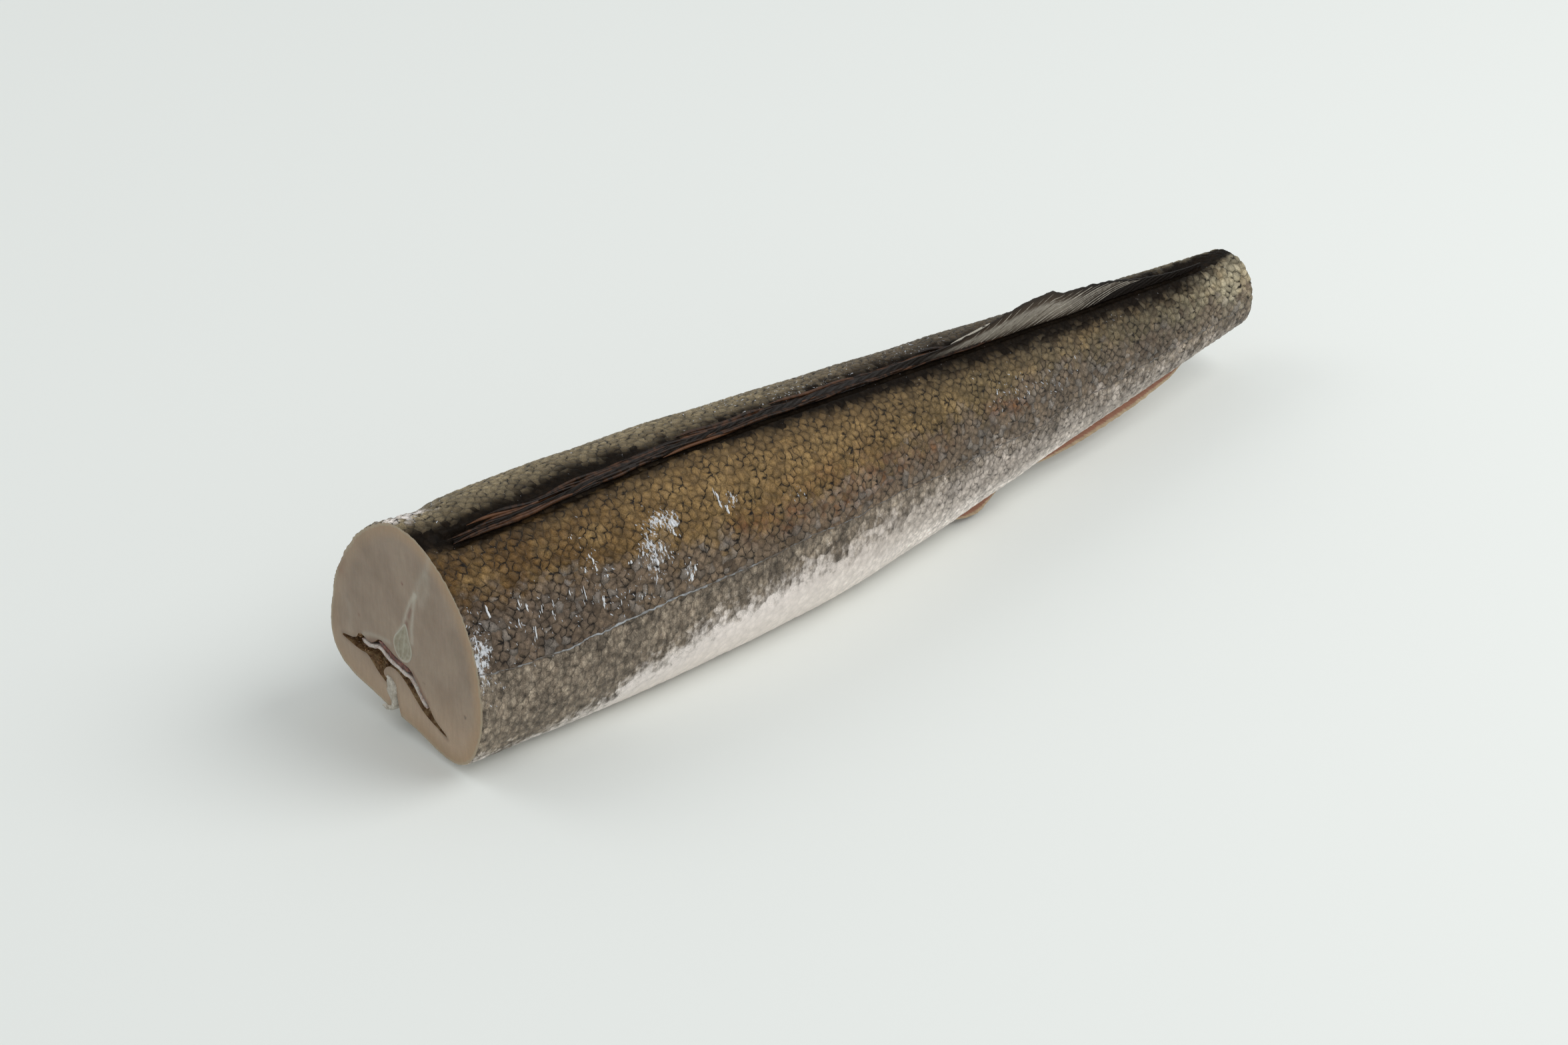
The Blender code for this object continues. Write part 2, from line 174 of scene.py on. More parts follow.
# share and mm from the furrow to the edge of the dark back
DARK_EDGE_NEAR = ((0.0, 1.5), (0.03, 3.6), (0.10, 3.8), (0.15, 3.4), (0.27, 3.8), (0.32, 6.0),
                  (0.40, 7.4), (0.51, 8.4), (0.59, 8.6), (0.67, 10.4), (0.73, 9.4), (0.78, 8.2),
                  (0.83, 9.2), (0.89, 9.6), (0.94, 5.4), (1.0, 1.5))
DARK_EDGE_FAR = ((0.0, 8.0), (0.10, 9.0), (0.17, 11.5), (0.23, 8.0), (0.31, 5.5), (1.0, 6.0))
# share and mm below the lateral line where the belly turns pale
PALE_EDGE = ((0.0, 42.0), (0.08, 39.0), (0.14, 33.0), (0.17, 24.0), (0.21, 21.5), (0.24, 16.5),
             (0.29, 15.0), (0.33, 12.5), (0.42, 12.0), (0.50, 10.0), (0.57, 7.0), (0.65, 6.5),
             (0.71, 7.0), (0.78, 8.0), (0.83, 8.0), (0.93, 11.5), (1.0, 12.5))
# share and mm above the lateral line where the purple flank starts
PURPLE_EDGE = ((0.0, 27.0), (0.06, 24.0), (0.14, 22.0), (0.22, 16.0), (0.30, 12.0), (0.40, 13.0),
               (0.55, 16.0), (0.68, 19.0), (0.80, 14.0), (0.90, 11.0), (1.0, 7.0))
# share and mm between scales
SCALE_SIZE = ((0.0, 3.15), (0.30, 3.1), (0.55, 2.8), (0.75, 2.7), (0.88, 2.8), (1.0, 3.2))
SCALE_JITTER = 0.86
SCALE_WOBBLE = 0.55
# band and height of a scale's dome, mm
DOME_BY_BAND = ((0.0, 0.06), (0.5, 0.14), (1.1, 0.36), (1.5, 0.44), (1.95, 0.32), (2.15, 0.17),
                (2.6, 0.12), (3.0, 0.06), (3.5, 0.03), (4.0, 0.0))
# share, then mm and paleness of the lateral line's tubes
LATERAL_THICK = ((0.0, 0.20), (0.08, 0.30), (0.20, 0.36), (0.33, 0.28), (0.40, 0.16),
                 (1.0, 0.12))
LATERAL_PALENESS = ((0.0, 0.1), (0.06, 0.3), (0.10, 0.8), (0.19, 0.8), (0.24, 0.3), (0.32, 0.1),
                    (1.0, 0.0))
STREAK_CHIPS = ((1.0, 1.0, 0.0), (0.45, 0.5, 1.0), (0.3, 0.5, 1.0))       # length, girth, stray
TUBE_STEPS = 8              # columns that one tubed scale of the lateral line takes up
FLAKES_PER_AREA = 420000.0
FLAKE_SIZE = (1.3 * MM, 0.34 * MM, 0.14 * MM)
SHREDS_PER_AREA = 700000.0
SHRED_SIZE = (2.6 * MM, 1.5 * MM, 1.1 * MM)
LAP = 0.55                      # rise of a scale from head to tail, of its dome
CREASE = 0.9                    # mm
FAR_DOME = 0.3                  # least dome on the far flank, mm
TAIL_DOME = 0.26                # least dome on the tail half, mm
LATTICE_START = 60              # keeps the rows of scales on the positive side of their pattern
FAR_LATTICE = 400               # gives the far flank scales of its own
RIM_WEAR = 0.30                 # mm that the skin's rim is worn down at the head cut
RIM_REACH = 1.3 * MM
TURN_STEPS = 721                # half degrees round a section, from the furrow on
NEAR_FLANK, UNDERSIDE, FAR_FLANK = slice(40, 330), slice(230, 500), slice(440, 690)
LEAST_PALE = 4 * MM             # pale belly that is left beside the cut
VENT_BLEND = 0.02               # share over which the slit closes
# frost streaks, a few of them painted glints: share, band, length and width in mm
FROST_AND_GLINT_STREAKS = ((0.133, 1.46, 2.6, 0.7), (0.133, 1.52, 2.2, 0.6), (0.123, 1.50, 2.4, 0.6),
           (0.141, 1.61, 1.4, 0.7), (0.131, 1.78, 5.0, 0.8), (0.116, 1.65, 5.5, 0.45),
           (0.102, 1.60, 2.2, 0.5), (0.053, 1.54, 3.2, 0.6), (0.059, 1.59, 3.2, 0.6),
           (0.072, 1.63, 3.4, 0.45), (0.061, 1.79, 5.2, 0.7), (0.048, 1.67, 3.2, 0.5),
           (0.223, 1.88, 3.0, 1.1), (0.228, 1.83, 2.2, 0.9), (0.023, 1.53, 5.0, 0.9),
           (0.272, 1.42, 7.0, 0.8), (0.277, 1.52, 3.0, 1.2), (0.208, 1.40, 2.0, 1.2),
           (0.219, 1.45, 2.4, 1.3), (0.217, 1.51, 2.4, 1.0), (0.167, 1.59, 1.6, 1.0),
           (0.181, 1.57, 1.8, 0.9), (0.200, 1.58, 2.6, 1.1), (0.192, 1.66, 3.0, 1.0),
           (0.123, 1.24, 1.2, 0.4), (0.131, 1.41, 1.6, 0.5), (0.084, 1.62, 2.8, 0.4),
           (0.081, 1.69, 2.0, 0.5), (0.148, 1.85, 2.4, 0.4), (0.169, 1.88, 2.2, 0.4),
           (0.62, 1.40, 2.2, 0.5), (0.66, 1.52, 1.8, 0.45))
DOME_BY_SHARE = ((0, 0.9), (0.05, 1.0), (0.6, 0.85), (0.85, 0.9), (0.92, 1.25), (1, 1.25))
CREASED_SPOTS = ((0.03, 0.9, 0.035, 0.45, 1.0), (0.0, 1.9, 0.02, 0.5, 0.6))
# soft spots of frost, pale nape and rust: share, band, their reaches, and strength
FROST_SPOTS = ((0.003, 1.93, 0.010, 0.30, 1.0), (0.012, 1.80, 0.008, 0.12, 0.5),
               (0.205, 1.38, 0.014, 0.07, 0.95), (0.219, 1.43, 0.007, 0.08, 0.95),
               (0.190, 1.52, 0.010, 0.07, 0.6), (0.188, 1.68, 0.012, 0.16, 0.8),
               (0.206, 1.60, 0.010, 0.10, 0.55), (0.285, 1.46, 0.008, 0.07, 0.8),
               (0.222, 1.84, 0.006, 0.07, 0.8), (0.13, 1.45, 0.014, 0.16, 0.14),
               (0.135, 1.70, 0.016, 0.16, 0.16), (0.06, 1.72, 0.03, 0.25, 0.14),
               (0.155, 1.85, 0.02, 0.12, 0.16), (0.35, 1.60, 0.01, 0.06, 0.4),
               (0.64, 1.40, 0.025, 0.18, 0.24), (0.70, 1.55, 0.03, 0.2, 0.22),
               (0.80, 1.05, 0.012, 0.1, 0.3))
NAPE_SPOTS = ((0.014, 1.26, 0.024, 0.14, 0.85), (0.036, 1.22, 0.012, 0.07, 0.5))
# far back: frost at the nape, then three spots further tailwards that are painted glints on the
# dark back, laid on as frost
FAR_FROST_AND_GLINT_SPOTS = ((0.022, 1.30, 0.018, 0.16, 0.75), (0.045, 1.55, 0.02, 0.2, 0.5),
                   (0.30, 1.5, 0.1, 0.3, 0.25), (0.43, 0.95, 0.05, 0.4, 0.35),
                   (0.56, 1.15, 0.04, 0.4, 0.35))
RUST_SPOTS = ((0.34, 1.76, 0.022, 0.14, 0.8), (0.40, 1.80, 0.025, 0.14, 0.7),
              (0.46, 1.76, 0.03, 0.16, 0.7), (0.52, 1.70, 0.025, 0.12, 0.6),
              (0.62, 1.56, 0.018, 0.12, 0.8), (0.645, 1.62, 0.014, 0.09, 0.7),
              (0.30, 1.70, 0.018, 0.10, 0.7), (0.285, 1.62, 0.014, 0.08, 0.5),
              (0.40, 1.55, 0.05, 0.14, 0.4))

# ---- table, lights and camera: m, degrees and W ---------------------------------------
TABLE_WIDE = 14.0
TABLE_DROP = 0.0002             # keeps the belly and the table apart
ROOM_LIGHT = (0.965, 0.985, 1.0, 1)
ROOM_STRENGTH = 0.60
LAMPS = (("large_softbox", (0.95, -0.95, 1.55), 1.6, 19.0),       # place, width and power
         ("back_fill", (-0.7, 1.1, 1.4), 1.0, 3.0))
CAMERA_AZIMUTH = 42.075
CAMERA_ELEVATION = 32.327
CAMERA_AWAY = 1.5833
CAMERA_AIM = (-0.0466, -0.0192, 0.034)
CAMERA_LENS = 100               # mm
CAMERA_SENSOR = 36              # mm

# ---- node names ----------------------------------------------------------------------
RANGE = "ShaderNodeMapRange"
MATH = "ShaderNodeMath"
VECTOR = "ShaderNodeVectorMath"
NOISE = "ShaderNodeTexNoise"
RAMP = "ShaderNodeValToRGB"
SPLIT = "ShaderNodeSeparateXYZ"
LABEL = "ShaderNodeAttribute"
STORED = "GeometryNodeInputNamedAttribute"
SOFT = "SMOOTHSTEP"


# ======================================================================================
# curves and outlines
# ======================================================================================
def along(knots, values, place):
    """Smooth curve through the values at the knots."""
    knots = np.asarray(knots, float)
    values = np.asarray(values, float)
    slopes = np.gradient(values, knots)
    span = np.clip(np.searchsorted(knots, place) - 1, 0, len(knots) - 2)
    step = knots[span + 1] - knots[span]
    t = np.clip((place - knots[span]) / step, 0.0, 1.0)
    rise = (3 - 2 * t) * t * t
    return ((1 - rise) * values[span] + rise * values[span + 1]
            + step * t * (1 - t) ** 2 * slopes[span] - step * t * t * (1 - t) * slopes[span + 1])


def table(rows, place):
    """Soft curve through rows of (place, value)."""
    knots, values = zip(*rows)
    return along(knots, values, place)


def straight(rows, place):
    """Straight lines through rows of (place, value)."""
    knots, values = zip(*rows)
    return np.interp(place, knots, values)


def soft_step(value, low, high):
    """0 below low, 1 above high, soft between."""
    t = np.clip((value - low) / (high - low), 0.0, 1.0)
    return t * t * (3 - 2 * t)


def swell(angle):
    """How much the outline swells at an angle, as a share of its size."""
    count = len(SWELL)
    turns = (angle / math.tau * count) % count
    first = np.floor(turns).astype(int)
    t = turns - first
    before, start, end, after = (np.take(SWELL, (first + k) % count) for k in (-1, 0, 1, 2))
    rise = (3 - 2 * t) * t * t
    return ((1 - rise) * start + rise * end + t * (1 - t) ** 2 * (end - before) / 2
            - t * t * (1 - t) * (after - start) / 2)


def signed_power(value, power):
    """Power that keeps the sign."""
    return np.sign(value) * np.abs(value) ** power


def middle(share):
    """Middle of a section (Y, Z) and its half height."""
    belly = along(STATION, BELLY, share) * MM
    back = along(STATION, BACK, share) * MM
    return along(STATION, SIDE, share) * MM + CENTRE, (belly + back) / 2, (back - belly) / 2


def oval(share, angle):
    """Points of the plain outline."""
    share, angle = np.broadcast_arrays(np.asarray(share, float), np.asarray(angle, float))
    side, height, half_height = middle(share)
    grow = 1 + swell(angle) * np.exp(-share / SWELL_FADE)
    power = 2 / OVAL_POWER
    across = along(STATION, HALF_WIDTH, share) * MM * grow * signed_power(np.cos(angle), power)
    up = half_height * grow * signed_power(np.sin(angle), power)
    return np.stack([(share - 0.5) * LENGTH, side + across, height + up], axis=-1)


def outline_normal(share, angle):
    """Direction out of the plain outline, across the trunk."""
    tangent = oval(share, angle + 0.02) - oval(share, angle - 0.02)
    normal = np.stack([tangent[..., 0] * 0, tangent[..., 2], -tangent[..., 1]], axis=-1)
    return normal / np.linalg.norm(normal, axis=-1, keepdims=True)


def noise_at(points, size):
    """Soft noise, about -1 to 1, at each point."""
    flat = np.asarray(points).reshape(-1, 3) / size
    values = np.fromiter((noise.noise(point) for point in flat.tolist()), float, len(flat))
    return values.reshape(np.shape(points)[:-1])


def furrow_angle(share):
    """Angle of the furrow round a section."""
    return np.radians(along(STATION, FURROW_ANGLE, share))


def skin(share, angle):
    """Points of the real outline: furrow, nape dent, soft lumps, flat where it rests."""
    share, angle = np.broadcast_arrays(np.asarray(share, float), np.asarray(angle, float))
    point = oval(share, angle)
    off_furrow = np.linalg.norm(point - oval(share, furrow_angle(share)), axis=-1)
    half_width = along(STATION, HALF_WIDTH, share) * MM
    depth = FURROW_DEPTH * np.minimum(1.0, FURROW_LEAST + half_width / FURROW_FULL)
    depth = depth * soft_step(share * LENGTH, 0.0, FURROW_START)
    depth = depth * soft_step((1 - share) * LENGTH, 0.0, FURROW_END)
    relief = -depth * (1 - soft_step(off_furrow, FURROW_FLOOR, FURROW_SHOULDER))
    turn = (angle % math.tau - math.radians(NAPE_ANGLE)) / math.radians(NAPE_SPREAD)
    back = (share * LENGTH - NAPE_PLACE) / NAPE_REACH
    relief = relief - NAPE_DENT * np.exp(-turn * turn - back * back)
    undrawn = point - np.array([0, CENTRE, 0])
    relief = relief + UNEVEN * noise_at(undrawn, UNEVEN_SIZE)
    point = point + relief[..., None] * outline_normal(share, angle)
    point[..., 2] = np.maximum(point[..., 2], 0.0)
    return point


def shifted(line, distance):
    """Line of (Y, Z) points moved to the left of its direction."""
    line = np.asarray(line, float)
    run = np.empty_like(line)
    run[1:-1] = line[2:] - line[:-2]
    run[0] = line[1] - line[0]
    run[-1] = line[-1] - line[-2]
    run /= np.linalg.norm(run, axis=1, keepdims=True)
    return line + np.stack([-run[:, 1], run[:, 0]], axis=1) * np.reshape(distance, (-1, 1))


def run_along(points):
    """Distance run along each line of points, from its first."""
    run = np.zeros(points.shape[:-1])
    run[..., 1:] = np.cumsum(np.linalg.norm(np.diff(points, axis=-2), axis=-1), axis=-1)
    return run


def evenly(line, spacing):
    """Points about spacing apart along a line, with its ends kept."""
    line = np.asarray(line, float)
    run = run_along(line)
    marks = np.linspace(0, run[-1], max(2, round(run[-1] / spacing) + 1))
    return np.stack([np.interp(marks, run, line[:, k]) for k in range(line.shape[1])], axis=1)


def rounded(line, times=2):
    """Line with its corners cut, ends kept."""
    line = np.asarray(line, float)
    for _ in range(times):
        a, b = line[:-1], line[1:]
        inner = np.stack([0.75 * a + 0.25 * b, 0.25 * a + 0.75 * b], axis=1).reshape(-1, 2)
        line = np.concatenate([line[:1], inner[1:-1], line[-1:]])
    return line


def slit_start():
    """Angle of the slit's foot round the head cut."""
    side, height, _ = middle(np.float64(0.0))
    return math.atan2(SLIT_FOOT[1] * MM - height, SLIT_FOOT[0] * MM - side + CENTRE) % math.tau


def carried(points, share):
    """Points drawn on the head cut in mm, carried to another section and made smaller."""
    start = slit_start()
    travel = share / CAVITY_END
    foot = oval(share, start + (math.radians(VENT_ANGLE) - start) * travel)
    drawn_foot = np.array([SLIT_FOOT[0] * MM + CENTRE, SLIT_FOOT[1] * MM])
    foot[1:] += (drawn_foot - oval(0.0, start)[1:]) * (1 - travel)
    size = 1 - (1 - CAVITY_CLOSE) * travel
    flat = (np.asarray(points, float) - SLIT_FOOT) * MM * size + foot[1:]
    return np.column_stack([np.full(len(flat), foot[0]), flat])


def inside(loop, points):
    """Which points lie inside a closed loop."""
    within = np.zeros(len(points), bool)
    for a, b in zip(loop, np.roll(loop, -1, axis=0)):
        crosses = (a[1] > points[:, 1]) != (b[1] > points[:, 1])
        with np.errstate(divide="ignore", invalid="ignore"):
            at = a[0] + (points[:, 1] - a[1]) / (b[1] - a[1]) * (b[0] - a[0])
        within ^= crosses & (points[:, 0] < at)
    return within


def off_line(points, line):
    """Distance of each point to a line of points, all (Y, Z)."""
    nearest = np.full(len(points), np.inf)
    for a, b in zip(line[:-1], line[1:]):
        run = b - a
        t = np.clip((points - a) @ run / max(run @ run, 1e-18), 0, 1)
        nearest = np.minimum(nearest, np.linalg.norm(points - a - t[:, None] * run, axis=1))
    return nearest


# ======================================================================================
# materials
# ======================================================================================
def colour(code):
    """sRGB hex to linear."""
    parts = [int(code[k:k + 2], 16) / 255 for k in (1, 3, 5)]
    return (*(v / 12.92 if v <= 0.04045 else ((v + 0.055) / 1.055) ** 2.4 for v in parts), 1.0)


def add(tree, kind, feeds=None, out=0, stops=None, **settings):
    """Add a node with its settings, its feeds and its colour stops; returns one output."""
    node = tree.nodes.new(kind)
    for name, value in settings.items():
        setattr(node, name, value)
    for socket, feed in (feeds or {}).items():
        if isinstance(feed, bpy.types.NodeSocket):
            tree.links.new(feed, node.inputs[socket])
        else:
            node.inputs[socket].default_value = feed
    if stops:
        ramp = node.color_ramp.elements
        while len(ramp) > 1:
            ramp.remove(ramp[-1])
        for k, (place, shade) in enumerate(stops):
            stop = ramp[0] if k == 0 else ramp.new(place)
            stop.position = place
            stop.color = colour(shade) if isinstance(shade, str) else (shade, shade, shade, 1.0)
    return node.outputs[out] if len(node.outputs) else node


def laid_over(tree, base, layers):
    """Lay colours over a base, each by its own factor."""
    for factor, shade in layers:
        shade = colour(shade) if isinstance(shade, str) else shade
        base = add(tree, "ShaderNodeMix", {0: factor, 6: base, 7: shade}, out=2, data_type="RGBA")
    return base


def finish(name, **constants):
    """New material; its constants are set on the shader's own sockets."""
    material = bpy.data.materials.new(name)
    material.use_nodes = True
    shader = material.node_tree.nodes["Principled BSDF"]
    for socket, value in constants.items():
        shader.inputs[socket.replace("_", " ")].default_value = value
    return material, material.node_tree, shader


def shaded(tree, base, *parts):
    """Colour made darker and lighter by values in turn: value, its low and high, shade at each."""
    for value, *span in parts:
        tone = add(tree, RANGE, {0: value, **dict(enumerate(span, 1))})
        base = add(tree, VECTOR, {0: base, "Scale": tone}, operation="SCALE")
    return base


def surface(tree, shader, base, grit, dullness, height, strength, depth):
    """Give a finish its colour, its uneven dullness and its fine relief."""
    rough = add(tree, RANGE, {0: grit, 1: 0.3, 2: 0.7, 3: dullness[0], 4: dullness[1]})
    bump = add(tree, "ShaderNodeBump", {"Height": height, "Strength": strength, "Distance": depth})
    for feed, socket in ((base, "Base Color"), (rough, "Roughness"), (bump, "Normal")):
        tree.links.new(feed, shader.inputs[socket])


def scale_cells(tree, lattice):
    """Rows of jittered scales: distance to a scale's edge, the scale's own cell, and the place
    on it from head to tail."""
    wobble = add(tree, NOISE, {"Vector": lattice, "Scale": 1.3, "Detail": 2.0}, out=1,
                 noise_dimensions="2D")
    centred = add(tree, VECTOR, {0: wobble, 1: (0.5, 0.5, 0.5)}, operation="SUBTRACT")
    moved = add(tree, VECTOR, {0: centred, 1: (SCALE_WOBBLE,) * 3, 2: lattice},
                operation="MULTIPLY_ADD")
    cells = {"Vector": moved, "Scale": 1.0, "Randomness": SCALE_JITTER}
    edge, cell = (add(tree, "ShaderNodeTexVoronoi", cells, voronoi_dimensions="2D", feature=feature)
                  for feature in ("DISTANCE_TO_EDGE", "F1"))
    cell = cell.node.outputs
    away = add(tree, VECTOR, {0: moved, 1: cell["Position"]}, operation="SUBTRACT")
    tailward = add(tree, VECTOR, {0: away, 1: (0.85, 0.53, 0.0)}, out=1, operation="DOT_PRODUCT")
    return edge, cell, tailward


def make_skin_finish():
    """Frozen hake skin: small rough-edged scales over dark pigment under a thin dull glaze, which
    keeps the colours deep, and rubbed patches where the glaze is frosted white. Each scale also
    gets painted highlight and shade, the gaps between scales painted shadow, some scales and spots
    painted glints, and the far back a partly painted sheen."""
    material, tree, shader = finish("frozen_hake_skin", Coat_Weight=0.02, Coat_Roughness=0.2)
    lattice = add(tree, LABEL, out=1, attribute_name="scale_map")
    zone = add(tree, SPLIT, {0: add(tree, LABEL, out=1, attribute_name="zone_map")}).node.outputs
    tint = add(tree, SPLIT, {0: add(tree, LABEL, out=1, attribute_name="tint_map")}).node.outputs
    mark = add(tree, SPLIT, {0: add(tree, LABEL, out=1, attribute_name="mark_map")}).node.outputs
    dark_by, pale_by, purple_by = zone[0], zone[1], zone[2]        # mm inside each zone
    below, tailwards, speckled = tint[0], tint[1], tint[2]
    frost, rust, far_back = mark[0], mark[1], mark[2]
    raised = add(tree, SPLIT, {0: lattice}).node.outputs[2]
    place = add(tree, "ShaderNodeTexCoord", out=3)
    upright = add(tree, "ShaderNodeMapping", {"Vector": place, "Scale": (1.0, 0.6, 0.38)})
    edge, cell, tailward = scale_cells(tree, lattice)
    own = add(tree, "ShaderNodeSeparateColor", {0: cell["Color"]}).node.outputs
    mottle, blotch, grain, streak, snow = (
        add(tree, NOISE, {"Vector": at, "Scale": 1 / (size * MM), "Detail": detail,
                          "Roughness": rough})
        for at, size, detail, rough in (                           # sizes in mm
            (place, 13.0, 5.0, 0.6), (place, 4.0, 5.0, 0.65), (place, 0.5, 3.0, 0.7),
            (upright, 1.7, 4.0, 0.62), (upright, 0.9, 4.0, 0.65)))

    edges = []
    for start, amounts, low, high in (                             # mm, all of them
            (dark_by, (7.0, 6.0, 0.0, 3.5), -3.0, 2.6),
            (dark_by, (14.0, 10.0, 4.0, 5.0), -9.5, 1.0),
            (pale_by, (12.0, 18.0, 12.0, 6.0), -6.0, 8.0),
            (pale_by, (16.0, 18.0, 8.0, 6.0), -12.0, 3.0),
            (pale_by, (8.0, 7.0, 4.0, 2.0), 6.0, 19.0),
            (purple_by, (20.0, 18.0, 6.0, 6.0), -6.0, 6.0)):
        rough = start
        for cloud, amount in zip((mottle, blotch, streak, own[0]), amounts):
            rough = add(tree, MATH, {0: cloud, 1: amount, 2: rough}, operation="MULTIPLY_ADD")
        middle_at = sum(amounts) / 2
        edges.append(add(tree, RANGE, {0: rough, 1: middle_at + low, 2: middle_at + high},
                         interpolation_type=SOFT))
    dark, dusky, pale, ashen, low_belly, purple = edges
    in_purple = add(tree, RANGE, {0: purple, 3: 0.35, 4: 1.0})
    murk = add(tree, MATH, {0: blotch, 1: mottle}, operation="ADD")
    tail_half = add(tree, RANGE, {0: tailwards, 1: 0.35, 2: 0.60, 3: 0.0, 4: 0.8},
                    interpolation_type=SOFT)
    masks = []
    # bluish: whole scales of the purple flank laid over in pale blue-grey, a painted glint on those
    # scales.
    for cloud, low, high, most, where in (                         # a cloud, kept to its zone
            (mottle, 0.44, 0.66, 0.5, 1.0), (own[1], 0.62, 0.92, 0.42, purple),
            (blotch, 0.47, 0.66, 0.75, in_purple), (blotch, 0.36, 0.64, 0.8, rust),
            (streak, 0.34, 0.74, 0.60, below), (murk, 1.02, 0.80, 0.55, below)):
        mask = add(tree, RANGE, {0: cloud, 1: low, 2: high, 4: most}, interpolation_type=SOFT)
        masks.append(add(tree, MATH, {0: mask, 1: where}, operation="MULTIPLY"))
    golden, bluish_glint, deep, rusty, creamy, smoky = masks
    ashen, dusky, far_tone_and_sheen, lilac = (
        add(tree, MATH, {0: mask, 1: most}, operation="MULTIPLY")
        for mask, most in ((ashen, tail_half), (dusky, 0.72), (far_back, 0.75), (purple, 0.72)))
    # The far back's colours by tailwards: partly its own tone, partly a painted greyish sheen where
    # that flank is seen edge-on.
    belly_colour, far_sheen_colour, base = (add(tree, RAMP, {0: tailwards}, stops=stops) for stops in (
        ((0.0, "#f3ebe5"), (0.32, "#f1e7e0"), (0.48, "#c9beb4"), (0.60, "#b4a99f"),
         (0.90, "#bbb1a7")),
        ((0.0, "#857b63"), (0.38, "#7f765f"), (0.48, "#665f50"), (0.56, "#4d473e"),
         (0.85, "#4a4438"), (0.95, "#857c63")),
        ((0.0, "#614826"), (0.10, "#644b2a"), (0.20, "#7d633d"), (0.32, "#836942"),
         (0.45, "#7a623e"), (0.60, "#705f41"), (0.72, "#70624a"), (0.84, "#6a604b"),
         (0.91, "#877d65"), (0.96, "#b0a68c"))))
    base = laid_over(tree, base, [
        (golden, "#90774e"), (lilac, "#72655a"), (deep, "#42362b"), (bluish_glint, "#85827e"),
        (rusty, "#754b26"), (below, "#7a6d5e"), (creamy, "#aa9d8b"), (smoky, "#594e43"),
        (ashen, "#9c9289"), (far_tone_and_sheen, far_sheen_colour), (pale, belly_colour),
        (low_belly, "#efe5dd"), (dusky, "#35291a"), (dark, "#18120c")])

    shade = add(tree, RANGE, {0: own[2], 3: 0.80, 4: 1.18})
    # Besides random tone, each scale is painted lighter at its middle and on its head side and
    # darker towards its rim: painted highlight and painted shade of a domed scale.
    for value, low, high, start, end in (
            (cell["Distance"], 0.10, 0.62, 1.16, 0.76), (tailward, -0.45, 0.45, 1.22, 0.78),
            (streak, 0.30, 0.70, 0.82, 1.18), (grain, 0.25, 0.75, 0.55, 1.45),
            (blotch, 0.30, 0.70, 0.70, 1.30), (mottle, 0.30, 0.70, 0.80, 1.20)):
        part = add(tree, RANGE, {0: value, 1: low, 2: high, 3: start, 4: end})
        shade = add(tree, MATH, {0: shade, 1: part}, operation="MULTIPLY")
    smooth = add(tree, RANGE, {0: tail_half, 1: 0.0, 2: 0.8, 3: 1.0, 4: 0.35})
    smooth = add(tree, MATH, {0: pale, 1: smooth}, operation="MULTIPLY")
    calm = add(tree, RANGE, {0: smooth, 3: 1.0, 4: 0.20})
    shade = add(tree, MATH, {0: shade, 1: 1.0}, operation="SUBTRACT")
    shade = add(tree, MATH, {0: shade, 1: calm, 2: 1.0}, operation="MULTIPLY_ADD")
    base = add(tree, VECTOR, {0: base, "Scale": shade}, operation="SCALE")

    gap = add(tree, NOISE, {"Vector": lattice, "Scale": 0.5, "Detail": 4.0}, noise_dimensions="2D")
    broken, behind = (
        add(tree, RANGE, {0: value, 1: low, 2: high, 3: least}, interpolation_type=SOFT)
        for value, low, high, least in ((gap, 0.40, 0.60, 0.10), (tailward, -0.20, 0.22, 0.15)))
    # Dark line along each scale's tailward gap: partly the skin's dark gap, partly painted shadow
    # cast by the lapping scale onto the next.
    seam_shadow = add(tree, RANGE, {0: edge, 1: 0.20, 2: 0.05}, interpolation_type=SOFT)
    strength = add(tree, RANGE, {0: raised, 1: 0.04, 2: 0.34, 3: 0.0, 4: 1.0})
    for factor in (broken, behind, strength):
        seam_shadow = add(tree, MATH, {0: seam_shadow, 1: factor}, operation="MULTIPLY")
    dots = add(tree, RANGE, {0: grain, 1: 0.56, 2: 0.64}, interpolation_type=SOFT)
    dots = add(tree, MATH, {0: dots, 1: speckled}, operation="MULTIPLY")
    # near white laid on by the frost map: frost, and on the far back painted glints as well
    snow = add(tree, MATH, {0: frost, 1: 0.25, 2: snow}, operation="MULTIPLY_ADD")
    rubbed = add(tree, RANGE, {0: snow, 1: 0.69, 2: 0.78, 3: 0.0, 4: 0.85}, interpolation_type=SOFT)
    base = laid_over(tree, base, [(seam_shadow, "#150f09"), (dots, "#5d544b"), (rubbed, "#dfe2e6")])
    gleam = add(tree, RANGE, {0: dark, 3: 0.15, 4: 0.03})
    tree.links.new(gleam, shader.inputs["Specular IOR Level"])
    lip = add(tree, RANGE, {0: edge, 1: 0.0, 2: 0.20}, interpolation_type=SOFT)
    lip = add(tree, MATH, {0: lip, 1: raised}, operation="MULTIPLY")
    fine = add(tree, MATH, {0: grain, 1: 0.34, 2: lip}, operation="MULTIPLY_ADD")
    fine = add(tree, MATH, {0: streak, 1: 0.35, 2: fine}, operation="MULTIPLY_ADD")
    fine = add(tree, MATH, {0: fine, 1: calm}, operation="MULTIPLY")
    surface(tree, shader, base, grain, (0.36, 0.60), fine, 0.9, 0.6 * MM)
    return material


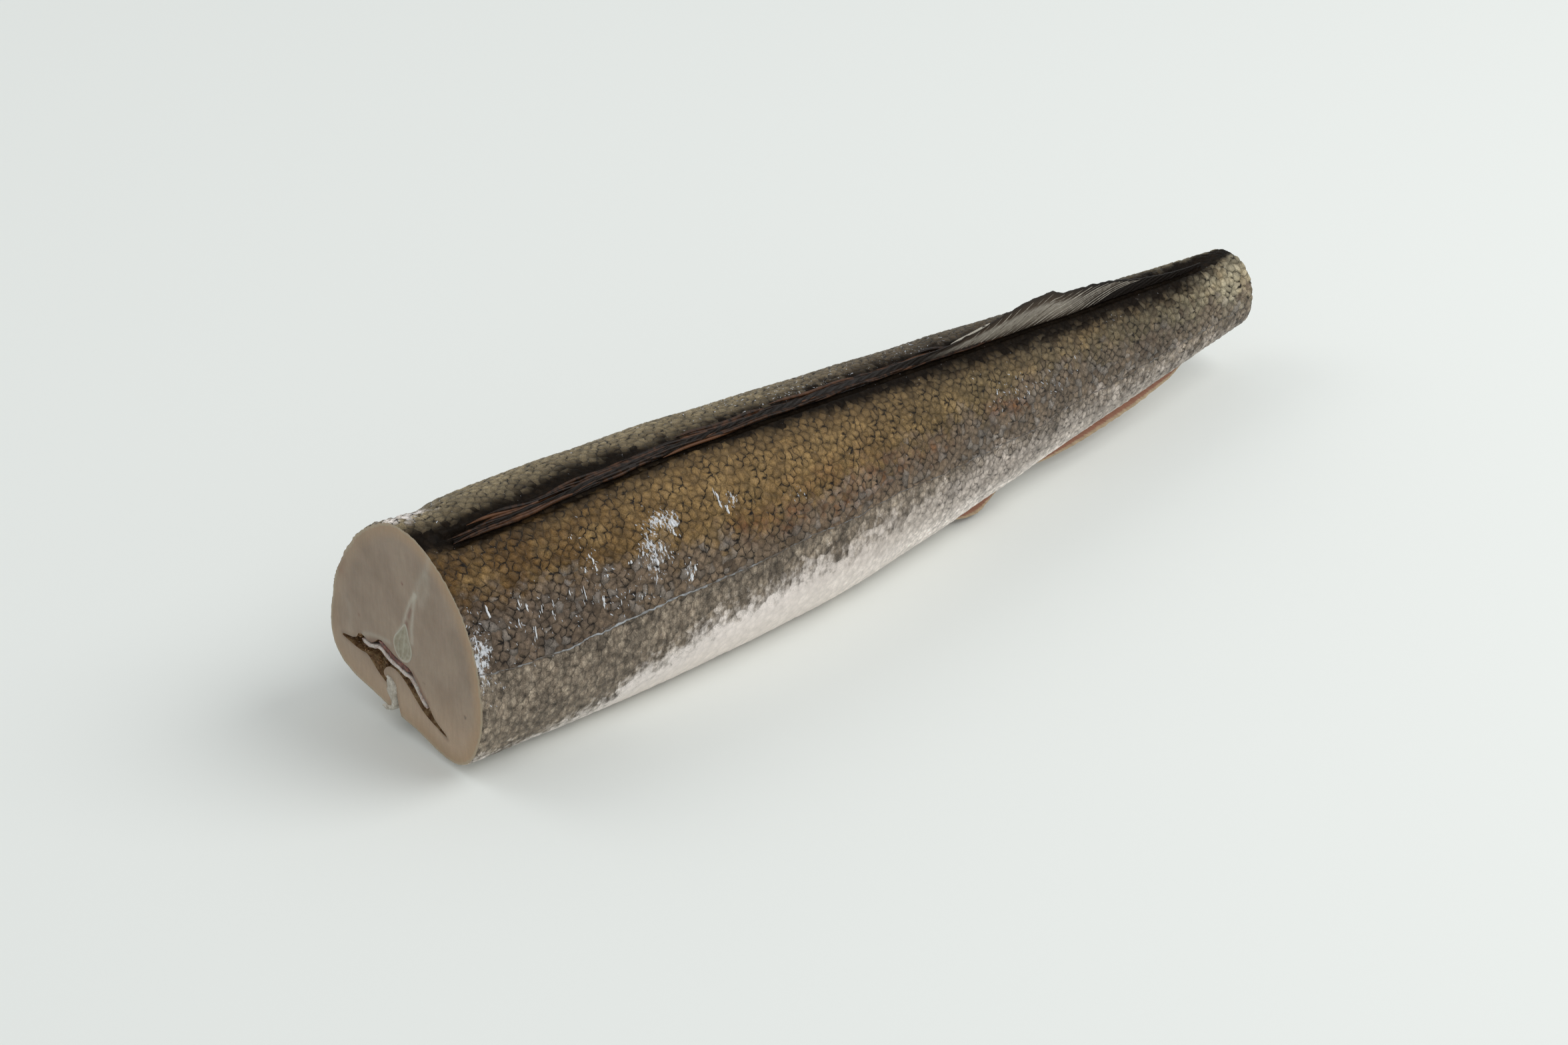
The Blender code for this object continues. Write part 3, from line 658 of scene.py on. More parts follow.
def make_flesh_finish():
    """Sawn frozen hake flesh: fine matt grain of ice-bound muscle, grey-pink, browner towards
    the skin, with a thin pale rim of skin; blood shows as rusty red, bone as milky grey."""
    material, tree, shader = finish("sawn_frozen_hake_flesh", Subsurface_Weight=0.10,
                                    Subsurface_Scale=0.6 * MM, Specular_IOR_Level=0.25)
    place = add(tree, "ShaderNodeTexCoord", out=3)
    cut = add(tree, SPLIT, {0: add(tree, LABEL, out=1, attribute_name="cut_map")}).node.outputs
    stain = add(tree, SPLIT, {0: add(tree, LABEL, out=1, attribute_name="stain_map")}).node.outputs
    rim, gut, warm = cut[0], cut[1], cut[2]
    bone, blood, dark = stain[0], stain[1], stain[2]
    cloud = add(tree, NOISE, {"Vector": place, "Scale": 1 / (14 * MM), "Detail": 4.0})
    drawn = add(tree, "ShaderNodeMapping", {"Vector": place, "Rotation": (0.45, 0.0, 0.0),
                                            "Scale": (1.0, 1.0, 0.16)})
    fibre = add(tree, NOISE, {"Vector": drawn, "Scale": 1 / (1.1 * MM), "Detail": 4.0,
                              "Roughness": 0.6})
    grain = add(tree, NOISE, {"Vector": place, "Scale": 1 / (0.7 * MM), "Detail": 3.0})
    base = add(tree, RAMP, {0: cloud},
               stops=((0.30, "#897969"), (0.5, "#928272"), (0.70, "#9a8a79")))
    ragged = add(tree, MATH, {0: grain, 1: 1.2, 2: rim}, operation="MULTIPLY_ADD")
    # low: the lower part of the face is painted lighter and warmer, a painted pool of light bounced
    # up from the table.
    low, tan, skin_edge, bruised = (
        add(tree, RANGE, {0: value, 1: start, 2: end, 4: most}, interpolation_type=SOFT)
        for value, start, end, most in (
            (add(tree, SPLIT, {0: place}, out=2), 38 * MM, 6 * MM, 0.62), (rim, 7.5, 0.8, 1.0),
            (ragged, 1.9, 1.2, 0.7), (gut, 2.2, 0.0, 0.25)))
    tan = add(tree, MATH, {0: tan, 1: warm}, operation="MULTIPLY")
    base = laid_over(tree, base, [(low, "#bea68d"), (tan, "#a58d73"), (skin_edge, "#a89c86"),
                                  (bruised, "#7d6a5c"), (bone, "#b1aa9c"), (blood, "#6d4034"),
                                  (dark, "#3c332e")])
    base = shaded(tree, base, (fibre, 0.25, 0.75, 0.92, 1.07), (grain, 0.25, 0.75, 0.94, 1.06))
    height = add(tree, MATH, {0: fibre, 1: grain}, operation="ADD")
    surface(tree, shader, base, grain, (0.50, 0.68), height, 0.25, 0.2 * MM)
    return material


def make_tissue_finish(name, stops, size, depth, **constants):
    """Soft frozen tissue with one cloud of colour, as the stops say, and fine grit."""
    material, tree, shader = finish(name, **constants)
    place = add(tree, "ShaderNodeTexCoord", out=3)
    cloud = add(tree, NOISE, {"Vector": place, "Scale": 1 / size, "Detail": 5.0, "Roughness": 0.62})
    grit = add(tree, NOISE, {"Vector": place, "Scale": 1 / (0.6 * MM), "Detail": 3.0})
    base = shaded(tree, add(tree, RAMP, {0: cloud}, stops=stops), (grit, 0.3, 0.7, 0.85, 1.12))
    height = add(tree, MATH, {0: cloud, 1: grit}, operation="ADD")
    surface(tree, shader, base, grit, (0.32, 0.55), height, 0.6, depth)
    return material


def make_bone_finish():
    """Sawn vertebra: milky grey-green gristle inside a whiter ring of bone, with the pale
    lines of its two hollow cones."""
    material, tree, shader = finish("sawn_hake_vertebra", Subsurface_Weight=0.15,
                                    Subsurface_Scale=0.8 * MM, Specular_IOR_Level=0.35)
    place = add(tree, "ShaderNodeTexCoord", out=3)
    disc = add(tree, SPLIT, {0: add(tree, LABEL, out=1, attribute_name="disc_map")}).node.outputs
    cloud = add(tree, NOISE, {"Vector": place, "Scale": 1 / (1.8 * MM), "Detail": 4.0})
    base = add(tree, RAMP, {0: cloud}, stops=((0.35, "#88806c"), (0.65, "#9d9784")))
    uneven = add(tree, MATH, {0: cloud, 1: 0.30, 2: disc[0]}, operation="MULTIPLY_ADD")
    uneven = add(tree, MATH, {0: uneven, 1: 0.15}, operation="SUBTRACT")
    across = add(tree, MATH, {0: uneven}, operation="ABSOLUTE")
    bowed = add(tree, MATH, {0: disc[1], 1: disc[1]}, operation="MULTIPLY")
    waist = add(tree, MATH, {0: bowed, 1: 0.42, 2: across}, operation="MULTIPLY_ADD")
    waist = add(tree, MATH, {0: waist, 1: 0.52}, operation="SUBTRACT")
    waist = add(tree, MATH, {0: waist}, operation="ABSOLUTE")
    stem = add(tree, MATH, {0: bowed, 1: 0.12, 2: across}, operation="MULTIPLY_ADD")
    base = laid_over(tree, base, [
        (add(tree, RANGE, {0: value, 1: low, 2: high, 4: most}, interpolation_type=SOFT), shade)
        for value, low, high, most, shade in (
            (waist, 0.13, 0.02, 0.26, "#b4afa0"), (stem, 0.16, 0.03, 0.34, "#b6b1a2"),
            (disc[2], 0.80, 0.93, 0.65, "#b5b0a2"), (disc[2], 0.965, 1.0, 0.6, "#8b7b6b"))])
    surface(tree, shader, base, cloud, (0.40, 0.58), cloud, 0.3, 0.3 * MM)
    return material


def make_fin_finish(name, folded, stops, coat):
    """Frozen fin web: thin horny skin drawn out along its rays, with colours from root to edge as
    its stops give them; the folded length is as dark as the back."""
    material, tree, shader = finish(name, Coat_Weight=coat, Coat_Roughness=0.25,
                                    Specular_IOR_Level=0.2)
    fin_map = add(tree, LABEL, out=1, attribute_name="fin_map")
    parts = add(tree, SPLIT, {0: fin_map}).node.outputs
    climb, standing = parts[1], parts[2]
    drawn = add(tree, VECTOR, {0: fin_map, 1: (1.6, 0.7, 0.0)}, operation="MULTIPLY")
    smear = add(tree, NOISE, {"Vector": drawn, "Scale": 2.4, "Detail": 5.0, "Roughness": 0.6})
    at = add(tree, MATH, {0: smear, 1: 0.36, 2: climb}, operation="MULTIPLY_ADD")
    at = add(tree, MATH, {0: at, 1: 0.18}, operation="SUBTRACT")
    web = add(tree, RAMP, {0: at}, stops=stops)
    base = laid_over(tree, colour(folded), [(standing, web)])
    base = shaded(tree, base, (smear, 0.3, 0.7, 0.80, 1.18))
    surface(tree, shader, base, smear, (0.32, 0.5), smear, 0.7, 0.5 * MM)
    return material


def make_strand_finish(name, deep, light, coat):
    """Horny ray or tubed scale: each strand has its own place between two colours."""
    material, tree, shader = finish(name, Coat_Weight=coat, Coat_Roughness=0.2, Roughness=0.4,
                                    Specular_IOR_Level=0.14)
    place = add(tree, "ShaderNodeTexCoord", out=3)
    paleness = add(tree, LABEL, out=2, attribute_name="paleness")
    cloud = add(tree, NOISE, {"Vector": place, "Scale": 1 / (2.2 * MM), "Detail": 4.0})
    cloud = add(tree, RANGE, {0: cloud, 1: 0.3, 2: 0.7, 3: -0.35, 4: 0.35})
    amount = add(tree, MATH, {0: cloud, 1: paleness}, operation="ADD", use_clamp=True)
    base = laid_over(tree, colour(deep), [(amount, light)])
    tree.links.new(base, shader.inputs["Base Color"])
    return material


# ======================================================================================
# meshes
# ======================================================================================
def store_map(mesh, label, values):
    """Keep a number or a vector for every point of a mesh under a name."""
    values = np.asarray(values, np.float32)
    flat = values.ndim == 1
    store = mesh.attributes.new(label, "FLOAT" if flat else "FLOAT_VECTOR", "POINT")
    store.data.foreach_set("value" if flat else "vector", values.ravel())


def piece(name, points, faces, material, maps=None, smooth=True, edges=()):
    """Object from points and faces or edges, with named point maps (vectors or numbers)."""
    mesh = bpy.data.meshes.new(name)
    mesh.from_pydata(np.asarray(points).reshape(-1, 3).tolist(), edges,
                     faces.tolist() if isinstance(faces, np.ndarray) else faces)
    for label, values in (maps or {}).items():
        store_map(mesh, label, values)
    if smooth:
        mesh.shade_smooth()
    mesh.materials.append(material)
    thing = bpy.data.objects.new(name, mesh)
    bpy.context.scene.collection.objects.link(thing)
    return thing


def copy_of(thing, name):
    """Copy of a piece with a mesh of its own."""
    twin = thing.copy()
    twin.data = thing.data.copy()
    twin.name = name
    bpy.context.scene.collection.objects.link(twin)
    return twin


def grid_faces(rows, columns, flip=False):
    """Four-sided faces of a grid stored row by row."""
    start = (np.arange(rows - 1)[:, None] * columns + np.arange(columns - 1)[None, :]).ravel()
    corners = [start, start + 1, start + columns + 1, start + columns]
    return np.stack(corners[::-1] if flip else corners, axis=1)


def slab(name, upper, lower, material, maps=None):
    """Closed thin body between two grids of points of the same shape."""
    rows, columns = upper.shape[:2]
    count = rows * columns
    faces = [grid_faces(rows, columns), grid_faces(rows, columns, flip=True) + count]
    around = np.concatenate([np.arange(columns), np.arange(1, rows) * columns + columns - 1,
                             (rows - 1) * columns + np.arange(columns - 2, -1, -1),
                             np.arange(rows - 2, 0, -1) * columns])
    after = np.roll(around, -1)
    faces.append(np.stack([after, around, around + count, after + count], axis=1))
    faces = np.concatenate(faces)
    points = np.concatenate([upper.reshape(-1, 3), lower.reshape(-1, 3)])
    if signed_volume(points, faces) < 0:
        faces = faces[:, ::-1]
    both = {label: np.concatenate([values, values]) for label, values in (maps or {}).items()}
    return piece(name, points, faces, material, both)


def signed_volume(points, faces):
    """Volume of a closed body of quads, below 0 where its faces point inwards."""
    a, b, c, d = (points[faces[:, k]] for k in range(4))
    return float(np.sum(np.cross(a, b) * c) + np.sum(np.cross(a, c) * d)) / 6


def evaluated(thing, tree, **inputs):
    """Run a node tree on an object and keep its result as a plain mesh."""
    modifier = thing.modifiers.new(tree.name, "NODES")
    modifier.node_group = tree
    for socket in tree.interface.items_tree:
        label = socket.name.replace(" ", "_").lower()
        if socket.in_out == "INPUT" and label in inputs:
            modifier[socket.identifier] = inputs[label]
    depsgraph = bpy.context.evaluated_depsgraph_get()
    mesh = bpy.data.meshes.new_from_object(thing.evaluated_get(depsgraph), depsgraph=depsgraph)
    old = thing.data
    thing.modifiers.clear()
    thing.data = mesh
    bpy.data.meshes.remove(old)
    mesh.name = thing.name
    return thing


def new_tree(name, *inputs):
    """Geometry tree with a geometry in, a geometry out, and named inputs."""
    tree = bpy.data.node_groups.new(name, "GeometryNodeTree")
    tree.interface.new_socket("Geometry", in_out="OUTPUT", socket_type="NodeSocketGeometry")
    tree.interface.new_socket("Geometry", in_out="INPUT", socket_type="NodeSocketGeometry")
    for label, kind in inputs:
        tree.interface.new_socket(label, in_out="INPUT", socket_type=f"NodeSocket{kind}")
    return tree, tree.nodes.new("NodeGroupInput").outputs


def close_tree(tree, shape, material):
    """Realised instances and their material end the tree."""
    real = add(tree, "GeometryNodeRealizeInstances", {0: shape})
    done = add(tree, "GeometryNodeSetMaterial", {"Geometry": real, "Material": material})
    tree.links.new(done, tree.nodes.new("NodeGroupOutput").inputs[0])


def scale_relief_tree():
    """Domed scales that lap over the next one tailwards, and upright creases of frozen skin."""
    tree, given = new_tree("scale_relief", ("Lap", "Float"), ("Crease height", "Float"),
                           ("Finish", "Material"))
    place = add(tree, "GeometryNodeInputPosition")
    lattice = add(tree, STORED, {"Name": "scale_map"}, data_type="FLOAT_VECTOR")
    outward = add(tree, STORED, {"Name": "outward"}, data_type="FLOAT_VECTOR")
    raised = add(tree, STORED, {"Name": "raised"}, data_type="FLOAT")
    creased = add(tree, STORED, {"Name": "creased"}, data_type="FLOAT")
    edge, _, tailward = scale_cells(tree, lattice)
    dome = add(tree, RANGE, {0: edge, 1: 0.0, 2: 0.34}, interpolation_type=SOFT)
    dome = add(tree, MATH, {0: tailward, 1: given["Lap"], 2: dome}, operation="MULTIPLY_ADD")
    dome = add(tree, MATH, {0: dome, 1: raised}, operation="MULTIPLY")
    upright = add(tree, VECTOR, {0: place, 1: (1.0, 0.6, 0.45)}, operation="MULTIPLY")
    fold = add(tree, NOISE, {"Vector": upright, "Scale": 1 / (2.1 * MM), "Detail": 3.0})
    fold = add(tree, MATH, {0: fold, 1: 0.5}, operation="SUBTRACT")
    for factor in (given["Crease height"], creased):
        fold = add(tree, MATH, {0: fold, 1: factor}, operation="MULTIPLY")
    rise = add(tree, MATH, {0: dome, 1: fold}, operation="ADD")
    rise = add(tree, MATH, {0: rise, 1: MM}, operation="MULTIPLY")
    offset = add(tree, VECTOR, {0: outward, "Scale": rise}, operation="SCALE")
    moved = add(tree, "GeometryNodeSetPosition", {"Geometry": given["Geometry"], "Offset": offset})
    close_tree(tree, moved, given["Finish"])
    return tree


def scattered_tree():
    """Flakes of frost, thickest where the skin was rubbed, lying flat along one direction."""
    tree, given = new_tree("scattered_flakes", ("Flakes per area", "Float"), ("Length", "Float"),
                           ("Width", "Float"), ("Thickness", "Float"), ("Seed", "Int"),
                           ("Finish", "Material"))
    flaked = add(tree, STORED, {"Name": "flaked"}, data_type="FLOAT")
    density = add(tree, MATH, {0: flaked, 1: given["Flakes per area"]}, operation="MULTIPLY")
    points = add(tree, "GeometryNodeDistributePointsOnFaces",
                 {"Mesh": given["Geometry"], "Density": density, "Seed": given["Seed"]})
    normal = points.node.outputs["Normal"]
    flake = add(tree, "GeometryNodeMeshUVSphere", {"Segments": 8, "Rings": 4, "Radius": 0.5})
    stand = add(tree, "FunctionNodeAlignRotationToVector", {"Vector": normal}, axis="Z")
    upright = add(tree, "FunctionNodeAlignRotationToVector",
                  {"Rotation": stand, "Vector": (0.35, 0.0, -1.0)}, axis="X", pivot_axis="Z")
    turn = add(tree, "FunctionNodeRandomValue", {2: -0.6, 3: 0.6, "Seed": 3}, out=1)
    spin = add(tree, "FunctionNodeAxisAngleToRotation", {"Axis": (0.0, 0.0, 1.0), "Angle": turn})
    turned = add(tree, "FunctionNodeRotateRotation", {0: upright, 1: spin}, rotation_space="LOCAL")
    amount = add(tree, "FunctionNodeRandomValue", {2: 0.35, 3: 1.25, "Seed": 8}, out=1)
    size = add(tree, "ShaderNodeCombineXYZ", {0: given["Length"], 1: given["Width"],
                                              2: given["Thickness"]})
    size = add(tree, VECTOR, {0: size, "Scale": amount}, operation="SCALE")
    laid = add(tree, "GeometryNodeInstanceOnPoints", {"Points": points, "Instance": flake,
                                                      "Rotation": turned, "Scale": size})
    real = add(tree, "GeometryNodeRealizeInstances", {0: laid})
    uneven = add(tree, NOISE, {"Scale": 1 / (0.8 * MM), "Detail": 2.0}, out=1)
    push = add(tree, VECTOR, {0: uneven, 1: (0.5, 0.5, 0.5)}, operation="SUBTRACT")
    push = add(tree, VECTOR, {0: push, "Scale": 0.5 * MM}, operation="SCALE")
    moved = add(tree, "GeometryNodeSetPosition", {"Geometry": real, "Offset": push})
    close_tree(tree, moved, given["Finish"])
    return tree


def scattered(thing, tree, per_area, size, seed, material):
    """Turn a piece into flakes that lie on it; size is their length, width and thickness."""
    return evaluated(thing, tree, flakes_per_area=per_area, length=size[0], width=size[1],
                     thickness=size[2], seed=seed, finish=material)


def strand_tree():
    """Slim round bodies on drawn lines, each as thick along its length as its points say."""
    tree, given = new_tree("strands_on_lines", ("Sides", "Int"), ("Finish", "Material"))
    girth = add(tree, STORED, {"Name": "girth"}, data_type="FLOAT")
    lines = add(tree, "GeometryNodeMeshToCurve", {"Mesh": given["Geometry"]})
    ring = add(tree, "GeometryNodeCurvePrimitiveCircle",
               {"Resolution": given["Sides"], "Radius": 1.0})
    body = add(tree, "GeometryNodeCurveToMesh",
               {"Curve": lines, "Profile Curve": ring, "Scale": girth, "Fill Caps": True})
    smooth = add(tree, "GeometryNodeSetShadeSmooth", {"Geometry": body})
    close_tree(tree, smooth, given["Finish"])
    return tree


def strands(name, rows, tree, material):
    """Piece of many strands: the points of each, its thickness there and its paleness."""
    lines, girths, palenesses = zip(*rows)
    edges, first = [], 0
    for line in lines:
        edges += [(first + k, first + k + 1) for k in range(len(line) - 1)]
        first += len(line)
    paleness = np.concatenate([np.full(len(line), pale) for line, pale in zip(lines, palenesses)])
    thing = piece(name, np.concatenate(lines), [], material,
                  {"girth": np.concatenate(girths), "paleness": paleness}, edges=edges)
    return evaluated(thing, tree, sides=STRAND_SIDES, finish=material)


def tapered(place, fullness, least):
    """Share of the full thickness along a strand, least at both ends."""
    return np.clip(np.sin(np.pi * place) * fullness, least, 1)


# ======================================================================================
# skin
# ======================================================================================
def patches(share, band, spots):
    """Sum of soft patches (share, band, reach along, reach across, strength)."""
    total = np.zeros(np.broadcast(share, band).shape)
    for at, high, long_reach, cross_reach, strength in spots:
        off_along, off_across = (share - at) / long_reach, (band - high) / cross_reach
        total += strength * np.exp(-off_along ** 2 - off_across ** 2)
    return total




def skin_layout(share):
    """Angles of the rows at every share, what each point of the skin is, and its distances."""
    furrow = furrow_angle(share)
    turn = np.linspace(0, math.tau, TURN_STEPS)
    dense = oval(share[:, None], furrow[:, None] + turn[None, :])
    girth = run_along(dense)
    line_height = table(LATERAL_HEIGHT, share) * MM
    dark_near = straight(DARK_EDGE_NEAR, share) * MM
    dark_far = straight(DARK_EDGE_FAR, share) * MM
    pale_edge = straight(PALE_EDGE, share) * MM
    angles, bands, drops, off_backs = [], [], [], []
    split = BACK_ROWS + BELLY_ROWS_NEAR + 1
    for k, place in enumerate(share):
        run, heights = girth[k], dense[k, :, 2]
        near_line = np.interp(-line_height[k], -heights[NEAR_FLANK], run[NEAR_FLANK])
        far_line = np.interp(line_height[k], heights[FAR_FLANK], run[FAR_FLANK])
        if place < CAVITY_END:
            gap = carried((NEAR_LIP[0], FAR_LIP[-1]), place)[:, 1]
            gap = gap.mean() + (gap - gap.mean()) * soft_step(CAVITY_END - place, 0.0, VENT_BLEND)
            near_lip, far_lip = np.interp(gap, dense[k, UNDERSIDE, 1], run[UNDERSIDE])
        else:
            near_lip = far_lip = np.interp(math.radians(VENT_ANGLE) - furrow[k], turn, run)
        pale = min(near_line + pale_edge[k], near_lip - LEAST_PALE)
        pale_far = max(far_line - pale_edge[k], far_lip + LEAST_PALE)
        rows = np.concatenate([np.linspace(0, near_line, BACK_ROWS + 1),
                               np.linspace(near_line, near_lip, BELLY_ROWS_NEAR + 1)[1:],
                               np.linspace(far_lip, far_line, BELLY_ROWS_FAR + 1),
                               np.linspace(far_line, run[-1], BACK_ROWS + 1)[1:]])
        angles.append(furrow[k] + np.interp(rows, run, turn))
        knots = [0, dark_near[k], near_line, pale, near_lip, far_lip + 1e-9, pale_far, far_line,
                 run[-1] - dark_far[k], run[-1]]
        bands.append(np.interp(rows, knots, [0, 1, 2, 3, 4, 4, 3, 2, 1, 0]))
        drops.append(np.concatenate([rows[:split] - near_line, far_line - rows[split:]]))
        off_backs.append(np.concatenate([rows[:split] - dark_near[k],
                                         run[-1] - rows[split:] - dark_far[k]]))
    return np.array(angles), np.array(bands), np.array(drops), np.array(off_backs)


def skin_maps(share, band, drop, off_back, outward):
    """Named maps of the skin: rows of scales, zones of colour, marks, relief and frost."""
    far = np.arange(drop.shape[1]) > BACK_ROWS + BELLY_ROWS_NEAR
    size = straight(SCALE_SIZE, share) * MM
    steps = np.concatenate([[0], np.cumsum(LENGTH / COLUMNS / size[:-1])])
    u = np.broadcast_to(steps[:, None], drop.shape) + np.where(far, FAR_LATTICE, 0)
    v = drop / size[:, None]
    wide = np.broadcast_to(share[:, None], band.shape)
    raised = straight(DOME_BY_BAND, band) * straight(DOME_BY_SHARE, wide)
    far_back = far[None, :] & (band > 1.02) & (band < 2)
    raised = np.where(far_back, np.maximum(raised, FAR_DOME), raised)
    raised = np.maximum(raised, TAIL_DOME * soft_step(wide, 0.42, 0.58)
                        * soft_step(3.7 - band, 0.0, 0.7) * soft_step(band, 1.0, 1.4))
    lattice = np.stack([(u + v) / math.sqrt(2) + LATTICE_START,
                        (u - v) / math.sqrt(2) + LATTICE_START, raised], axis=-1)
    pale_by = (drop - straight(PALE_EDGE, share)[:, None] * MM) / MM
    purple_by = (drop + straight(PURPLE_EDGE, share)[:, None] * MM) / MM
    nape = np.where(far[None, :], patches(wide, band, NAPE_SPOTS), 0.0)
    pale_by = np.where(nape > 0.1, np.maximum(pale_by, 11 * nape - 8), pale_by)
    zones = np.stack([-off_back / MM, pale_by, purple_by], axis=-1)
    speckled = 0.75 * np.exp(-((pale_by - 2.0) / 7.0) ** 2) * soft_step(drop, 0.0, 4 * MM)
    tints = np.stack([soft_step(drop / MM, -1.0, 2.5), wide, speckled], axis=-1)
    # on the far flank the frost map also carries painted glints
    near_frost, far_frost_and_glint = patches(wide, band, FROST_SPOTS), patches(wide, band, FAR_FROST_AND_GLINT_SPOTS)
    frost = np.clip(np.where(far[None, :], far_frost_and_glint, near_frost), 0, 1)
    rust = np.clip(patches(wide, band, RUST_SPOTS), 0, 1)
    far_back = np.where(far, 1.0, 0.0)[None, :] * soft_step(2.2 - band, 0.0, 0.8)
    creased = (0.30 + 1.3 * patches(wide, band, CREASED_SPOTS)
               + 0.45 * soft_step(drop / MM, -3.0, 4.0) + np.where(band < 0.9, 0.3, 0.0))
    creased = (creased + 2.6 * nape) * soft_step(4.0 - band, 0.0, 0.3) * soft_step(band, 0.0, 0.3)
    return {"scale_map": lattice, "zone_map": zones, "tint_map": tints,
            "mark_map": np.stack([frost, rust, far_back], axis=-1), "outward": outward,
            "raised": raised, "creased": creased, "flaked": frost}


def grid_normals(points, like):
    """Normals of a grid of points, on the side that the directions like point to."""
    normals = np.cross(np.gradient(points, axis=1), np.gradient(points, axis=0))
    normals = normals / np.maximum(np.linalg.norm(normals, axis=2, keepdims=True), 1e-12)
    return -normals if np.sum(normals * like) < 0 else normals


def make_skin(finish_of_skin):
    """Skin in four lengths between the furrow, the lateral lines and the belly cut."""
    share = np.linspace(0, 1, COLUMNS + 1)
    angles, band, drop, off_back = skin_layout(share)
    points = skin(share[:, None], angles)
    centre = np.stack([points[..., 0], *(np.broadcast_to(m[:, None], angles.shape)
                                         for m in middle(share)[:2])], axis=-1)
    outward = grid_normals(points, points - centre)
    maps = skin_maps(share, band, drop, off_back, outward)
    cuts = np.cumsum([0, BACK_ROWS, BELLY_ROWS_NEAR, 1, BELLY_ROWS_FAR, BACK_ROWS])
    spans = {"skin_back_near": (cuts[0], cuts[1]), "skin_belly_near": (cuts[1], cuts[2]),
             "skin_belly_far": (cuts[3], cuts[4]), "skin_back_far": (cuts[4], cuts[5])}
    tree = scale_relief_tree()
    done = points.copy()
    things = {}
    for name, (first, last) in spans.items():
        rows = slice(first, last + 1)
        width = last + 1 - first
        part = {label: values[:, rows].reshape(-1, *values.shape[2:])
                for label, values in maps.items()}
        thing = piece(name, points[:, rows], grid_faces(COLUMNS + 1, width), finish_of_skin, part)
        evaluated(thing, tree, lap=LAP, crease_height=CREASE, finish=finish_of_skin)
        moved = np.empty((COLUMNS + 1) * width * 3, np.float32)
        thing.data.vertices.foreach_get("co", moved)
        done[:, rows] = moved.reshape(COLUMNS + 1, width, 3)
        things[name] = (thing, rows)
    from_cut = (share * LENGTH / RIM_REACH)[:, None, None]
    done -= outward * RIM_WEAR * MM * np.clip(1 - from_cut, 0, 1) ** 2
    done[0, :, 0] = -LENGTH / 2
    done[-1, :, 0] = LENGTH / 2
    done[..., 2] = np.maximum(done[..., 2], 0.0)
    normals = grid_normals(done, outward)
    for thing, rows in things.values():
        mesh = thing.data
        mesh.vertices.foreach_set("co", done[:, rows].astype(np.float32).ravel())
        first = mesh.polygons[len(mesh.polygons) // 2]
        mesh.update()
        if first.normal.dot(Vector(normals[:, rows].reshape(-1, 3)[first.vertices[0]])) < 0:
            mesh.flip_normals()
        mesh.normals_split_custom_set_from_vertices(normals[:, rows].reshape(-1, 3).tolist())
    return done, normals, band, cuts, {name: thing for name, (thing, _) in things.items()}


# ======================================================================================
# head cut, tail cut and gut cavity
# ======================================================================================
def flesh_cut(name, x, facing, loop, hole, spacing, material, stains):
    """Sawn face: fine triangles inside a loop and outside a hole, with a low uneven grain."""
    loop, hole = loop / MM, hole / MM
    low, high = loop.min(axis=0), loop.max(axis=0)
    across = np.arange(low[0], high[0], spacing)
    up = np.arange(low[1], high[1], spacing * 0.866)
    grid = np.stack(np.meshgrid(across, up), axis=-1)
    grid[1::2, :, 0] += spacing / 2
    grid = grid.reshape(-1, 2)
    closed_loop, closed_hole = np.vstack([loop, loop[:1]]), np.vstack([hole, hole[:1]])
    grid = grid[inside(loop, grid) & ~inside(hole, grid)]
    for rim in (closed_loop, closed_hole):
        grid = grid[off_line(grid, rim) > 0.5 * spacing]
    points = np.concatenate([loop, hole, grid])
    edges = [(k, (k + 1) % len(loop)) for k in range(len(loop))]
    edges += [(len(loop) + k, len(loop) + (k + 1) % len(hole)) for k in range(len(hole))]
    flat, _, faces, *_ = geometry.delaunay_2d_cdt([Vector(p) for p in points], edges, [], 0, 1e-6,
                                                  False)
    flat = np.array([tuple(p) for p in flat])
    faces = np.array([face[:3] for face in faces if len(face) == 3])
    centres = flat[faces].mean(axis=1)
    faces = faces[inside(loop, centres) & ~inside(hole, centres)]
    turn = np.cross(flat[faces[:, 1]] - flat[faces[:, 0]], flat[faces[:, 2]] - flat[faces[:, 0]])
    faces[turn * facing < 0] = faces[turn * facing < 0][:, ::-1]
    rim = np.minimum(off_line(flat, closed_loop), off_line(flat, closed_hole))
    solid = np.column_stack([np.full(len(flat), x), flat * MM])
    lumps = sum(height * noise_at(solid, size) for height, size in CUT_LUMPS)
    solid[:, 0] += facing * lumps * soft_step(rim, 0.0, CUT_RIM) * MM
    return piece(name, solid, faces, material, stains(flat, rim))


def head_stains(flat, skin_loop, gut_loop):
    """What shows on the head cut: rim and gut distances, bone, blood and dark stains."""
    def strokes(rows):
        return sum(strength * np.exp(-(off_line(flat, np.array(line, float) + [CENTRE / MM, 0])
                                       / reach) ** 2) for strength, reach, line in rows)

    rim = off_line(flat, skin_loop / MM)
    gut = off_line(flat, gut_loop / MM)
    warm = 0.35 + 0.65 * soft_step(-flat[:, 0] + 0.25 * flat[:, 1], -30, 30)
    stains = [strokes(rows) for rows in (BONE_STROKES, BLOOD_STROKES, DARK_STROKES)]
    return {"cut_map": np.column_stack([rim, gut, warm]),
            "stain_map": np.clip(np.column_stack(stains), 0, 1)}


def tail_stains(flat, rim):
    """What shows on the tail cut: the same maps with a short spine over the vertebra."""
    bone = 0.5 * np.exp(-((flat[:, 0] - flat[:, 0].mean()) / 0.7) ** 2)
    bone *= soft_step(flat[:, 1], 36.0, 38.0) * soft_step(48.0 - flat[:, 1], 0.0, 3.0)
    return {"cut_map": np.column_stack([rim, rim * 0 + 99, rim * 0 + 0.6]),
            "stain_map": np.column_stack([bone, bone * 0, bone * 0])}


